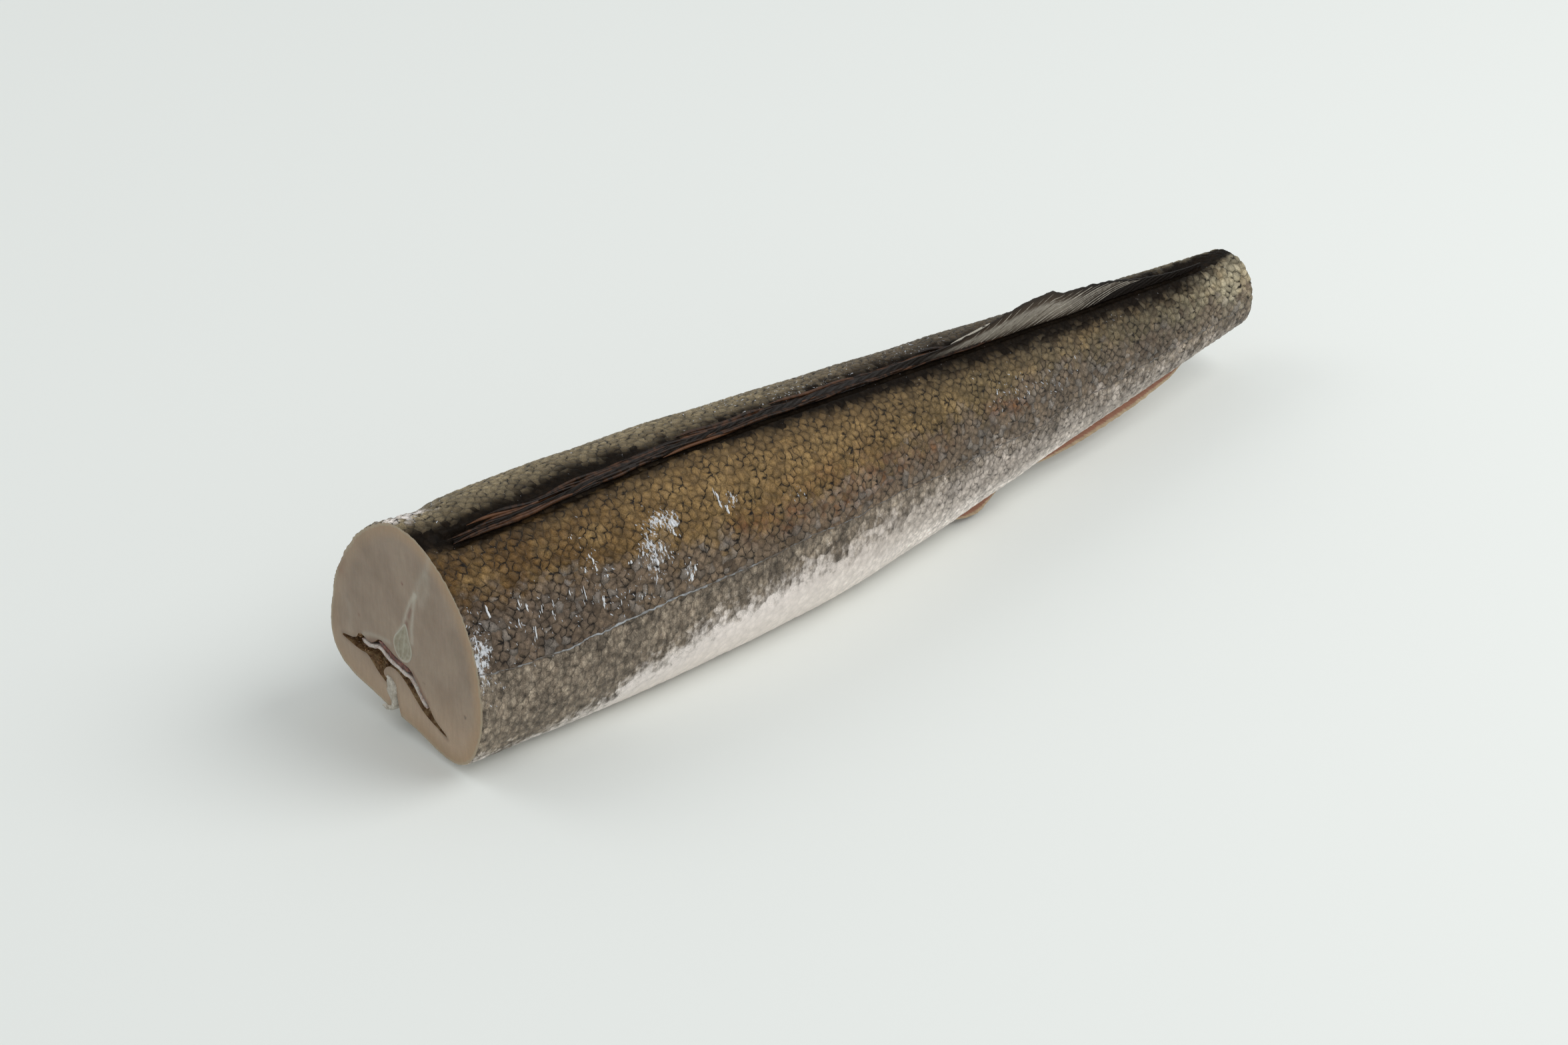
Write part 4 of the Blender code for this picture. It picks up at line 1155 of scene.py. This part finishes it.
def cavity_line():
    """Wall of the cavity on the head cut, from the near lip over the roof to the far lip, mm."""
    low = shifted(MEMBRANE, -(MEMBRANE_THICK / 2 + LINING_GAP))
    high = shifted(MEMBRANE, -(MEMBRANE_THICK / 2 + 2.5 * LINING_GAP + KIDNEY_THICK))
    roof = [high[k] if k in KIDNEY else low[k] for k in range(len(MEMBRANE))]
    near = rounded([*NEAR_LIP, *NEAR_FLAP_TOP], 2)
    far = rounded([*FAR_FLAP_TOP, *FAR_LIP], 2)
    return np.array([*near, *rounded([*NEAR_ROOF, *roof[::-1], *FAR_ROOF], 1), *far])


def make_cavity(done, cuts, wall_finish):
    """Wall and blind end of the gut cavity; its two edges are the skin's lips."""
    share = np.linspace(0, 1, COLUMNS + 1)
    crowded = np.linspace(0, 1, WALL_RINGS) ** 1.6 * CAVITY_END * COLUMNS
    columns = np.unique(np.round(crowded).astype(int))
    line = evenly(cavity_line(), WALL_SPACING)
    rings = []
    for column in columns:
        ring = carried(line, share[column])
        near_lip, far_lip = done[column, cuts[2]], done[column, cuts[3]]
        for lip, end in ((near_lip, 0), (far_lip, -1)):
            reach = np.exp(-(np.linalg.norm(ring - ring[end], axis=1) / (2.0 * MM)) ** 2)
            ring = ring + reach[:, None] * (lip - ring[end])
        ring[0], ring[-1] = near_lip, far_lip
        ring[:, 0] = near_lip[0]
        rings.append(ring)
    rings = np.array(rings)
    rough = noise_at(rings, 2.6 * MM) * WALL_ROUGH * MM
    centre = rings.mean(axis=1, keepdims=True)
    inward = centre - rings
    inward /= np.linalg.norm(inward, axis=2, keepdims=True)
    fade = np.minimum(np.arange(len(rings)) / 4.0, 1.0)[:, None] * np.ones(rings.shape[1])[None, :]
    fade[:, 0] = fade[:, -1] = 0.0
    rings = rings + inward * (rough * fade)[..., None]
    rings[..., 2] = np.maximum(rings[..., 2], 0.05 * MM)
    faces = grid_faces(len(rings), rings.shape[1])
    last = (len(rings) - 1) * rings.shape[1]
    end = [tuple(int(last + k) for k in tri) for tri in
           geometry.tessellate_polygon([[Vector((0, p[1], p[2])) for p in rings[-1]]])]
    wall = piece("gut_cavity_wall", rings, faces.tolist() + end, wall_finish)
    roof_face = wall.data.polygons[rings.shape[1] // 2]
    to_hollow = Vector(rings[0].mean(axis=0)) - roof_face.center
    if roof_face.normal.dot(to_hollow) < 0:
        wall.data.flip_normals()
    return wall, rings


def carried_slab(name, line, shares, shape, material):
    """Thin body along a line drawn on the head cut and carried tailwards; shape gives its bend
    and half thickness in mm and how far its front stands out, at one share."""
    upper, lower = [], []
    for share in shares:
        bend, half, proud = shape(share)
        for side, keep in ((-1, upper), (1, lower)):
            ring = carried(shifted(line, bend + side * half), share)
            ring[:, 0] -= proud
            ring[:, 2] = np.maximum(ring[:, 2], 0.1 * MM)
            keep.append(ring)
    return slab(name, np.array(upper), np.array(lower), material)


def make_lining(name, line, thick, waves, proud, material):
    """Lining of the cavity's roof with a wavy, slightly proud front edge."""
    line = evenly(rounded(line, 2), 0.45)
    run = np.linspace(0, 1, len(line))
    ends = np.clip(np.minimum(run, 1 - run) * len(line) / 3.0, 0.25, 1.0)

    def shape(share):
        spots = np.column_stack([line, np.full(len(line), share * 60)])
        front = math.exp(-share * LENGTH / (1.5 * MM))
        return (waves * noise_at(spots, 2.6) * np.minimum(1, 3 * run * (1 - run) * 4),
                thick / 2 * ends * (1 + 0.25 * noise_at(spots + 7.0, 1.9)),
                proud * MM * front * (0.6 + 0.6 * noise_at(spots + 3.0, 3.1)))

    shares = np.linspace(0, 1, LINING_STEPS) ** 1.5 * LINING_END
    return carried_slab(name, line, shares, shape, material)


def make_remnants(wall, rings, gut_finish):
    """Shreds of brown gut left on the wall of the cavity, just inside the head cut."""
    deep = np.broadcast_to((rings[:, :1, 0] + LENGTH / 2) / MM, rings.shape[:2])
    thing = copy_of(wall, "gut_remnants")
    place = 0.5 + 0.8 * noise_at(rings, 5.0 * MM)
    amount = soft_step(deep, 1.0, 2.2) * soft_step(22.0 - deep, 0.0, 12.0) * np.clip(place, 0, 1)
    store_map(thing.data, "flaked", amount.ravel())
    return scattered(thing, scattered_tree(), SHREDS_PER_AREA, SHRED_SIZE, 3, gut_finish)


def make_linings(finishes):
    """Membrane of the cavity's roof and, above its middle, the strip of kidney."""
    membrane = make_lining("white_membrane", MEMBRANE, MEMBRANE_THICK, 0.35, 0.7,
                           finishes["membrane"])
    raised = shifted(MEMBRANE, -(MEMBRANE_THICK / 2 + 1.5 * LINING_GAP + KIDNEY_THICK / 2))
    kidney = make_lining("kidney_strip", raised[list(KIDNEY)], KIDNEY_THICK + 0.5, 0.2, 0.25,
                         finishes["blood"])
    return {"belly_membrane": membrane, "kidney": kidney}


def make_slit_edge(curl_finish):
    """White skin of the far flap, curled in round its tip between the flaps."""
    path = evenly(rounded(CURL, 2), 0.4)
    run = np.linspace(0, 1, len(path))

    def shape(share):
        spots = np.column_stack([path, np.full(len(path), share * 90)])
        half = 0.75 + 1.6 * np.exp(-((run - 0.26) / 0.20) ** 2)
        half *= 1 + 0.3 * noise_at(spots + 5.0, 1.8)
        half *= np.clip(np.minimum(run, 1 - run) * 12, 0.4, 1)
        front = MM * math.exp(-share * LENGTH / (1.6 * MM))
        return (0.35 * noise_at(spots, 2.4), half * (1 - 0.6 * share / CURL_END),
                front * (0.7 + 0.6 * noise_at(spots + 2.0, 2.8)))

    shares = np.linspace(0.0, CURL_END, CURL_STEPS)
    return carried_slab("curled_skin_edge", path, shares, shape, curl_finish)


# ======================================================================================
# backbone and fins
# ======================================================================================
def spine_ring(share, angles):
    """Points round the backbone with its arch at one section."""
    first_side, first_height, _ = middle(np.float64(0.0))
    offset_y = SPINE_AT_HEAD[0] * MM + CENTRE - first_side
    offset_z = SPINE_AT_HEAD[1] * MM - first_height
    side, height, _ = middle(np.float64(share))
    wide, high, rise = (start + (end - start) * share
                        for start, end in (SPINE_WIDE, SPINE_HIGH, ARCH_RISE))
    off_top = np.remainder(angles - math.pi / 2 + math.pi, math.tau) - math.pi
    across = wide * np.cos(angles)
    up = high * np.sin(angles) + rise * np.exp(-(off_top / math.radians(ARCH_SPREAD)) ** 2)
    lean = SPINE_LEAN * (1 - share)
    sine, cosine = math.sin(lean), math.cos(lean)
    return np.column_stack([np.full(len(angles), (share - 0.5) * LENGTH),
                            side + offset_y * (1 - share) + across * cosine - up * sine,
                            height + offset_z * (1 - share) + across * sine + up * cosine])


def make_backbone(bone_finish):
    """Column of the backbone with its two sawn ends, each a shallow dished disc."""
    angles = np.linspace(0, math.tau, SPINE_SIDES + 1)[:-1]
    count = len(angles)
    shrinks = np.linspace(0.02, 1.0, DISC_STEPS)
    points, disc = [], []
    for end, facing, order in ((0.0, -1, shrinks), (1.0, 1, shrinks[::-1])):
        ring = spine_ring(end, angles)
        if facing > 0:
            points += [spine_ring(share, angles) for share in np.linspace(0, 1, SPINE_STEPS)[1:-1]]
            disc += [np.column_stack([np.cos(angles), np.sin(angles), angles * 0 + 1])] * (
                SPINE_STEPS - 2)
        for shrink in order:
            spot = ring.mean(axis=0) + (ring - ring.mean(axis=0)) * shrink
            dish = 0.35 * (1 - shrink ** 2) - 0.22 * math.exp(-((shrink - 0.9) / 0.07) ** 2)
            spot[:, 0] = ring[0, 0] - facing * dish * MM
            points.append(spot)
            disc.append(np.column_stack([shrink * np.cos(angles), shrink * np.sin(angles),
                                         np.full(count, shrink)]))
    points = np.array(points)
    firsts = np.arange(len(points) - 1)[:, None] * count
    start, after = ((firsts + np.roll(np.arange(count), -step)[None, :]).ravel() for step in (0, 1))
    faces = np.stack([start, after, after + count, start + count], axis=1)
    ends = [tuple(range(count))[::-1], tuple(range((len(points) - 1) * count, len(points) * count))]
    if signed_volume(points.reshape(-1, 3), faces) < 0:
        faces = faces[:, ::-1]
        ends = [end[::-1] for end in ends]
    thing = piece("sawn_backbone", points, faces.tolist() + ends, bone_finish,
                  {"disc_map": np.array(disc).reshape(-1, 3)})
    thing.data.set_sharp_from_angle(angle=math.radians(50))
    return thing


def make_fin(name, rise, roots, outwards, leans, sweep, spacing, material, standing):
    """Web of a fin: two faces a web's thickness apart, softly ridged along its rays."""
    share = np.linspace(rise[0][0], rise[-1][0], len(roots))
    levels = np.linspace(0, 1, FIN_LEVELS)
    height = straight(rise, share)
    lean = np.radians(leans)
    up = np.column_stack([lean * 0, outwards[:, 1] * np.cos(lean) - outwards[:, 2] * np.sin(lean),
                          outwards[:, 1] * np.sin(lean) + outwards[:, 2] * np.cos(lean)])
    side = np.column_stack([lean * 0, -up[:, 2], up[:, 1]])
    along_mm = share * LENGTH / MM
    rays = (along_mm[:, None] - sweep * height[:, None] * levels[None, :]) / spacing
    worn = 1 + 0.07 * noise_at(np.column_stack([along_mm, along_mm * 0, along_mm * 0]), 3.1)
    climb = height[:, None] * worn[:, None] * levels[None, :]
    ripple = 0.10 * levels * np.sin(rays * math.tau) + 0.5 * levels[None, :] ** 2 * np.sin(
        along_mm[:, None] / FIN_WAVE)
    ripple *= np.minimum(1.0, height[:, None] / 4.0)
    half = 0.5 * (FIN_THICK[0] + (FIN_THICK[1] - FIN_THICK[0]) * levels[None, :] ** 0.7)
    half = half * (0.85 + 0.22 * np.maximum(np.sin(rays * math.tau), 0) ** 2)
    half = np.minimum(half, 0.25 + 0.3 * height[:, None])
    rising, across = up[:, None, :], side[:, None, :]
    spot = roots[:, None, :] + (rising * climb[..., None] + across * ripple[..., None]) * MM
    web = across * half[..., None] * MM
    flag = np.broadcast_to(standing[:, None], rays.shape)
    fin_map = np.stack([rays, np.broadcast_to(levels, rays.shape), flag], axis=-1).reshape(-1, 3)
    return slab(name, spot - web, spot + web, material, {"fin_map": fin_map}), up, side


def beside_furrow(share, across):
    """Angles at distances across the back from the furrow's middle, + towards the near flank."""
    fan = np.linspace(-FAN_REACH, FAN_REACH, FAN_STEPS)
    start = furrow_angle(share)
    line = oval(share[:, None], start[:, None] + fan[None, :])
    run = run_along(line)
    run -= run[:, FAN_STEPS // 2:FAN_STEPS // 2 + 1]
    return start + np.array([np.interp(a, r, fan) for a, r in zip(across, run)])


def folded_rays(rng):
    """Rays of the first dorsal fin, folded back into the furrow and frozen there side by side."""
    rays = []
    for first in np.linspace(*FOLDED_SPAN, FOLDED_COUNT):
        first = first + rng.uniform(-0.006, 0.006)
        share = np.linspace(first, min(first + rng.uniform(0.06, 0.12), FOLDED_LIMIT), FOLDED_STEPS)
        t = np.linspace(0, 1, FOLDED_STEPS)
        start, end = rng.uniform(-4.8, 0.9, 2)
        end = 0.6 * start + 0.4 * end
        across = (start + (end - start) * t + 0.25 * np.sin(t * 9 + first * 60)) * MM
        angle = beside_furrow(share, across)
        plain, out = oval(share, angle), outline_normal(share, angle)
        sunk = np.sum((skin(share, angle) - plain) * out, axis=1)
        bed = rng.uniform(-1.5, -0.7) * MM
        lift = np.maximum(sunk + 0.25 * MM, bed) - 0.35 * MM * t ** 2
        rays.append((plain + out * lift[:, None],
                     rng.uniform(0.38, 0.85) * MM * tapered(t, 2.2, 0.12),
                     rng.choice(FOLDED_PALENESS, p=FOLDED_CHANCE)))
    return rays


def standing_rays(roots, up, side, rng):
    """Rays that show as low ridges on the near face of the standing lobe."""
    share = np.linspace(DORSAL_RISE[0][0], DORSAL_RISE[-1][0], len(roots))
    rays = []
    for first in np.arange(*STANDING_SPAN):
        height = np.interp(first, share, straight(DORSAL_RISE, share))
        t = np.linspace(0.04, 0.90, 12)
        at = first + rng.uniform(-0.002, 0.002) + DORSAL_SWEEP * height * t * MM / LENGTH
        at = np.minimum(at, share[-1])
        tall = np.interp(at, share, straight(DORSAL_RISE, share))
        root, rising, across = (np.column_stack([np.interp(at, share, v[:, k]) for k in range(3)])
                                for v in (roots, up, side))
        facing = np.where(across[:, 1] < 0, 1.0, -1.0)
        out = 0.5 * t ** 2 * np.sin(at * LENGTH / MM / FIN_WAVE)
        out = out + facing * 0.42 * (1.05 - 0.71 * t ** 0.7)
        rays.append((root + (rising * (tall * t)[:, None] + across * out[:, None]) * MM,
                     rng.uniform(0.16, 0.30) * MM * tapered(t / 0.95, 2, 0.3),
                     rng.uniform(0.1, 0.7)))
    at = np.linspace(*FRONT_RAY, 16)
    root, rising = (np.column_stack([np.interp(at, share, v[:, k]) for k in range(3)])
                    for v in (roots, up))
    rays.append((root + rising * straight(DORSAL_RISE, at)[:, None] * 0.98 * MM,
                 0.42 * MM * tapered(np.linspace(0.05, 0.95, 16), 1.5, 0.2), 1.3))
    return rays


def make_fins(finishes):
    """Dorsal fin in its furrow and as a standing lobe; anal fin and its torn front end."""
    tree = strand_tree()
    rng = np.random.default_rng(4)
    share = np.linspace(DORSAL_RISE[0][0], DORSAL_RISE[-1][0], 620)
    angle = furrow_angle(share)
    outward = outline_normal(share, angle)
    roots = skin(share, angle) + outward * 0.25 * MM
    standing = soft_step(share, 0.56, 0.64) * soft_step(0.81 - share, 0.0, 0.06)
    web, up, side = make_fin("dorsal_fin_web", DORSAL_RISE, roots, outward, table(FOLD_LEAN, share),
                             DORSAL_SWEEP, DORSAL_SPACING, finishes["dorsal"], standing)
    folded = strands("folded_fin_rays", folded_rays(rng), tree, finishes["folded"])
    ridges = strands("standing_fin_rays", standing_rays(roots, up, side, rng), tree,
                     finishes["ridge"])
    made = {"dorsal_fin": [web, folded, ridges]}
    for name, node, rows, degrees, count in (
            ("anal_fin_web", "anal_fin", ANAL_RISE, 246.0, 300),
            ("anal_fin_torn_end", "anal_fin_stub", STUB_RISE, 243.0, 90)):
        share = np.linspace(rows[0][0], rows[-1][0], count)
        angle = np.full(count, math.radians(degrees))
        outward = outline_normal(share, angle)
        fin, _, _ = make_fin(name, rows, skin(share, angle) + outward * 0.1 * MM, outward,
                             np.full(count, ANAL_LEAN), ANAL_SWEEP, ANAL_SPACING, finishes["anal"],
                             np.ones(count))
        made[node] = [fin]
    return made


def make_lateral_lines(done, normals, cuts, line_finish):
    """Lateral line of each flank: a low uneven thread of tubed scales, clearest at the head."""
    tree = strand_tree()
    share = np.linspace(0, 1, COLUMNS + 1)
    made = []
    for name, row in (("lateral_line_near", cuts[1]), ("lateral_line_far", cuts[4])):
        line, out = done[:, row], normals[:, row]
        seeds = np.column_stack([share * 110, share * 0 + row, share * 0])
        wander = 0.9 * noise_at(seeds, 2.3) + 0.4 * noise_at(seeds, 0.6)
        across = np.cross(np.gradient(line, axis=0), out)
        across /= np.linalg.norm(across, axis=1, keepdims=True)
        line = line + across * wander[:, None] * MM + out * 0.05 * MM
        thick = straight(LATERAL_THICK, share)
        thick = thick * (1 + 1.3 * noise_at(seeds + 40, 0.8))
        fade = straight(LATERAL_PALENESS, share)
        tubes = [(line[k:k + TUBE_STEPS + 1], np.maximum(thick[k:k + TUBE_STEPS + 1], 0.05) * MM,
                  fade[k] + 0.5 * noise_at(seeds[k:k + 1] + 9, 0.7)[0])
                 for k in range(0, COLUMNS - TUBE_STEPS, TUBE_STEPS)]
        made.append(strands(name, tubes, tree, line_finish))
    return made


def between(grid, columns, rows):
    """Values of a grid at places between its points."""
    column, row = np.floor(columns).astype(int), np.floor(rows).astype(int)
    a, b = (columns - column)[:, None], (rows - row)[:, None]
    return ((1 - a) * (1 - b) * grid[column, row] + a * (1 - b) * grid[column + 1, row]
            + (1 - a) * b * grid[column, row + 1] + a * b * grid[column + 1, row + 1])


def make_streaks(done, normals, band, frost_finish):
    """Scraped frost with a few painted glints among it: short white ridges, most of them upright on
    the near flank, with chips.
    """
    ridges = []
    rng = np.random.default_rng(21)
    for at, high, length, width in FROST_AND_GLINT_STREAKS:
        column = at * COLUMNS
        start = int(np.argmin(np.abs(band[round(column), :BACK_ROWS] - high)))
        row_gap = np.linalg.norm(done[round(column), start + 1] - done[round(column), start]) / MM
        for size, girth, stray in STREAK_CHIPS:
            reach = size * length / row_gap / 2
            rows = start + stray * rng.uniform(-0.7, 0.7) * length / row_gap
            rows = rows + np.linspace(-reach, reach, 9)
            columns = column + stray * rng.uniform(-2.0, 2.0) - 0.04 * (rows - start)
            columns = np.maximum(columns + rng.uniform(-0.12, 0.12, 9), 0.5)
            body = tapered(np.linspace(0, 1, 9), 1.6, 0.12)
            spots, out = (between(grid, columns, rows) for grid in (done, normals))
            ridges.append((spots + out * 0.10 * MM,
                           girth * width / 2 * MM * body * rng.uniform(0.55, 1.1, 9),
                           rng.uniform(0.7, 1.2)))
    return strands("scraped_frost", ridges, strand_tree(), frost_finish)


def make_flakes(skins, frost_finish):
    """Rubbed frost on the flank, and painted glints on the far back: small white flakes, most of
    them upright.
    """
    tree = scattered_tree()
    made = []
    for name, source, seed in (("frost_back", "skin_back_near", 5),
                               ("frost_belly", "skin_belly_near", 9),
                               ("frost_far_back", "skin_back_far", 2)):
        made.append(scattered(copy_of(skins[source], name), tree, FLAKES_PER_AREA, FLAKE_SIZE, seed,
                              frost_finish))
    return made


# ======================================================================================
# stage, light and camera
# ======================================================================================
def make_stage():
    """Wide matt white table under a large soft light on the right, a little darker on the left."""
    floor_finish, _, shader = finish("matt_white_table", Roughness=0.75, Specular_IOR_Level=0.2)
    shader.inputs["Base Color"].default_value = colour("#eef1ed")
    low, high = -TABLE_WIDE / 2, TABLE_WIDE / 2
    floor = piece("table_top", [(low, low, 0), (high, low, 0), (high, high, 0), (low, high, 0)],
                  [(0, 1, 2, 3)], floor_finish, smooth=False)
    floor.location.z = -TABLE_DROP
    world = bpy.data.worlds.new("soft_room")
    bpy.context.scene.world = world
    world.use_nodes = True
    sky = world.node_tree.nodes["Background"]
    sky.inputs["Color"].default_value = ROOM_LIGHT
    sky.inputs["Strength"].default_value = ROOM_STRENGTH
    for name, place, size, power in LAMPS:
        data = bpy.data.lights.new(name, "AREA")
        data.energy = power
        data.shape = "DISK"
        data.size = size
        lamp = bpy.data.objects.new(name, data)
        lamp.location = place
        lamp.rotation_euler = (-Vector(place)).to_track_quat("-Z", "Y").to_euler()
        bpy.context.scene.collection.objects.link(lamp)


def make_camera():
    """Long lens from the front left, 32 degrees above the table."""
    azimuth, elevation = math.radians(CAMERA_AZIMUTH), math.radians(CAMERA_ELEVATION)
    right = Vector((math.cos(azimuth), -math.sin(azimuth), 0))
    up = Vector((math.sin(azimuth) * math.sin(elevation), math.cos(azimuth) * math.sin(elevation),
                 math.cos(elevation)))
    back = right.cross(up)
    data = bpy.data.cameras.new("long_lens")
    data.lens = CAMERA_LENS
    data.sensor_width = CAMERA_SENSOR
    data.clip_start = 0.05
    camera = bpy.data.objects.new("long_lens", data)
    place = Vector(CAMERA_AIM) + back * CAMERA_AWAY
    turn = Matrix((right, up, back)).transposed().to_4x4()
    camera.matrix_world = Matrix.Translation(place) @ turn
    bpy.context.scene.collection.objects.link(camera)
    bpy.context.scene.camera = camera


def make_finishes():
    """Finishes of everything in and on the trunk; skin and bone have functions of their own."""
    return {
        "flesh": make_flesh_finish(),
        "gut": make_tissue_finish("gutted_cavity_lining", (
            (0.30, "#4a3625"), (0.44, "#7a5c3f"), (0.58, "#a08562"), (0.74, "#b5a48a")),
            3.0 * MM, 0.5 * MM, Coat_Weight=0.4, Coat_Roughness=0.15),
        "membrane": make_tissue_finish("white_gut_membrane", (
            (0.34, "#a08c80"), (0.46, "#bfb3aa"), (0.60, "#cfc8bf")),
            2.2 * MM, 0.4 * MM, Subsurface_Weight=0.2, Subsurface_Scale=0.8 * MM, Coat_Weight=0.2),
        "blood": make_tissue_finish("frozen_kidney", (
            (0.35, "#3c1c14"), (0.52, "#633222"), (0.68, "#8a533e")),
            1.6 * MM, 0.4 * MM, Coat_Weight=0.3),
        "remnants": make_tissue_finish("frozen_gut_shreds", (
            (0.32, "#5b3f27"), (0.48, "#8d6a43"), (0.64, "#b09a76")),
            2.4 * MM, 0.4 * MM, Coat_Weight=0.4, Coat_Roughness=0.15),
        "curl": make_tissue_finish("white_skin_edge", (
            (0.34, "#a2998a"), (0.50, "#bdb5a6"), (0.66, "#cdc8bb")),
            2.4 * MM, 0.3 * MM, Coat_Weight=0.15),
        "dorsal": make_fin_finish("frozen_dorsal_fin", "#18110b", (
            (0.0, "#2b2118"), (0.14, "#5c5347"), (0.30, "#898173"), (0.58, "#958e82"),
            (0.72, "#45382b"), (1.0, "#231910")), 0.06),
        # anal fin: darker reddish brown at its root, partly its own colour and partly painted shade
        # on its upper part, turning tan towards its edge
        "anal": make_fin_finish("frozen_anal_fin", "#8d5f4c", (
            (0.0, "#8a5d49"), (0.62, "#966852"), (0.76, "#ae9679"), (1.0, "#b9a587")), 0.1),
        "folded": make_strand_finish("folded_ray_horn", "#1a110a", "#60402a", 0.04),
        "ridge": make_strand_finish("standing_ray_horn", "#544a3e", "#aaa497", 0.1),
        "line": make_strand_finish("lateral_line_scales", "#5c544b", "#a9adb0", 0.15),
        "frost": make_strand_finish("rubbed_frost", "#b9bcc2", "#e6e8ea", 0.1)}


def make_cuts(done, cuts, rings, flesh):
    """Both sawn faces, each with a hole for the backbone."""
    head_edge, tail_edge = (np.concatenate([done[column, :cuts[2] + 1][::-1],
                                            done[column, cuts[3]:cuts[5]][::-1]])[:, 1:]
                            for column in (0, COLUMNS))
    head_spine, tail_spine = (spine_ring(share, np.linspace(0, math.tau, sides + 1)[:-1])[:, 1:]
                              for share, sides in ((0.0, 48), (1.0, 40)))
    head_loop = np.concatenate([head_edge, rings[0, ::-1][1:-1, 1:]])
    return (flesh_cut("head_cut", -LENGTH / 2, -1, head_loop, head_spine, CUT_SPACING[0], flesh,
                      lambda flat, rim: head_stains(flat, head_edge, rings[0, :, 1:])),
            flesh_cut("tail_cut", LENGTH / 2, 1, tail_edge[:-1], tail_spine, CUT_SPACING[1], flesh,
                      tail_stains))


def main():
    """Build the table, the light and the camera, then every piece of the hake."""
    make_stage()
    make_camera()
    bpy.context.scene.view_settings.view_transform = "Standard"
    skin_finish, finishes = make_skin_finish(), make_finishes()
    done, normals, band, cuts, skins = make_skin(skin_finish)
    wall, rings = make_cavity(done, cuts, finishes["gut"])
    sawn = make_cuts(done, cuts, rings, finishes["flesh"])

    placed = {"trunk": [*skins.values(), wall, *sawn],
              "backbone": [make_backbone(make_bone_finish())]}
    placed.update({node: [thing] for node, thing in make_linings(finishes).items()})
    placed.update(make_fins(finishes))
    for node, things in placed.items():
        for thing in things:
            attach(thing, "root")
            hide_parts(node)
    for thing in (make_slit_edge(finishes["curl"]),
                  make_remnants(wall, rings, finishes["remnants"]),
                  *make_lateral_lines(done, normals, cuts, finishes["line"]),
                  make_streaks(done, normals, band, finishes["frost"]),
                  *make_flakes(skins, finishes["frost"])):
        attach(thing, "root")


main()
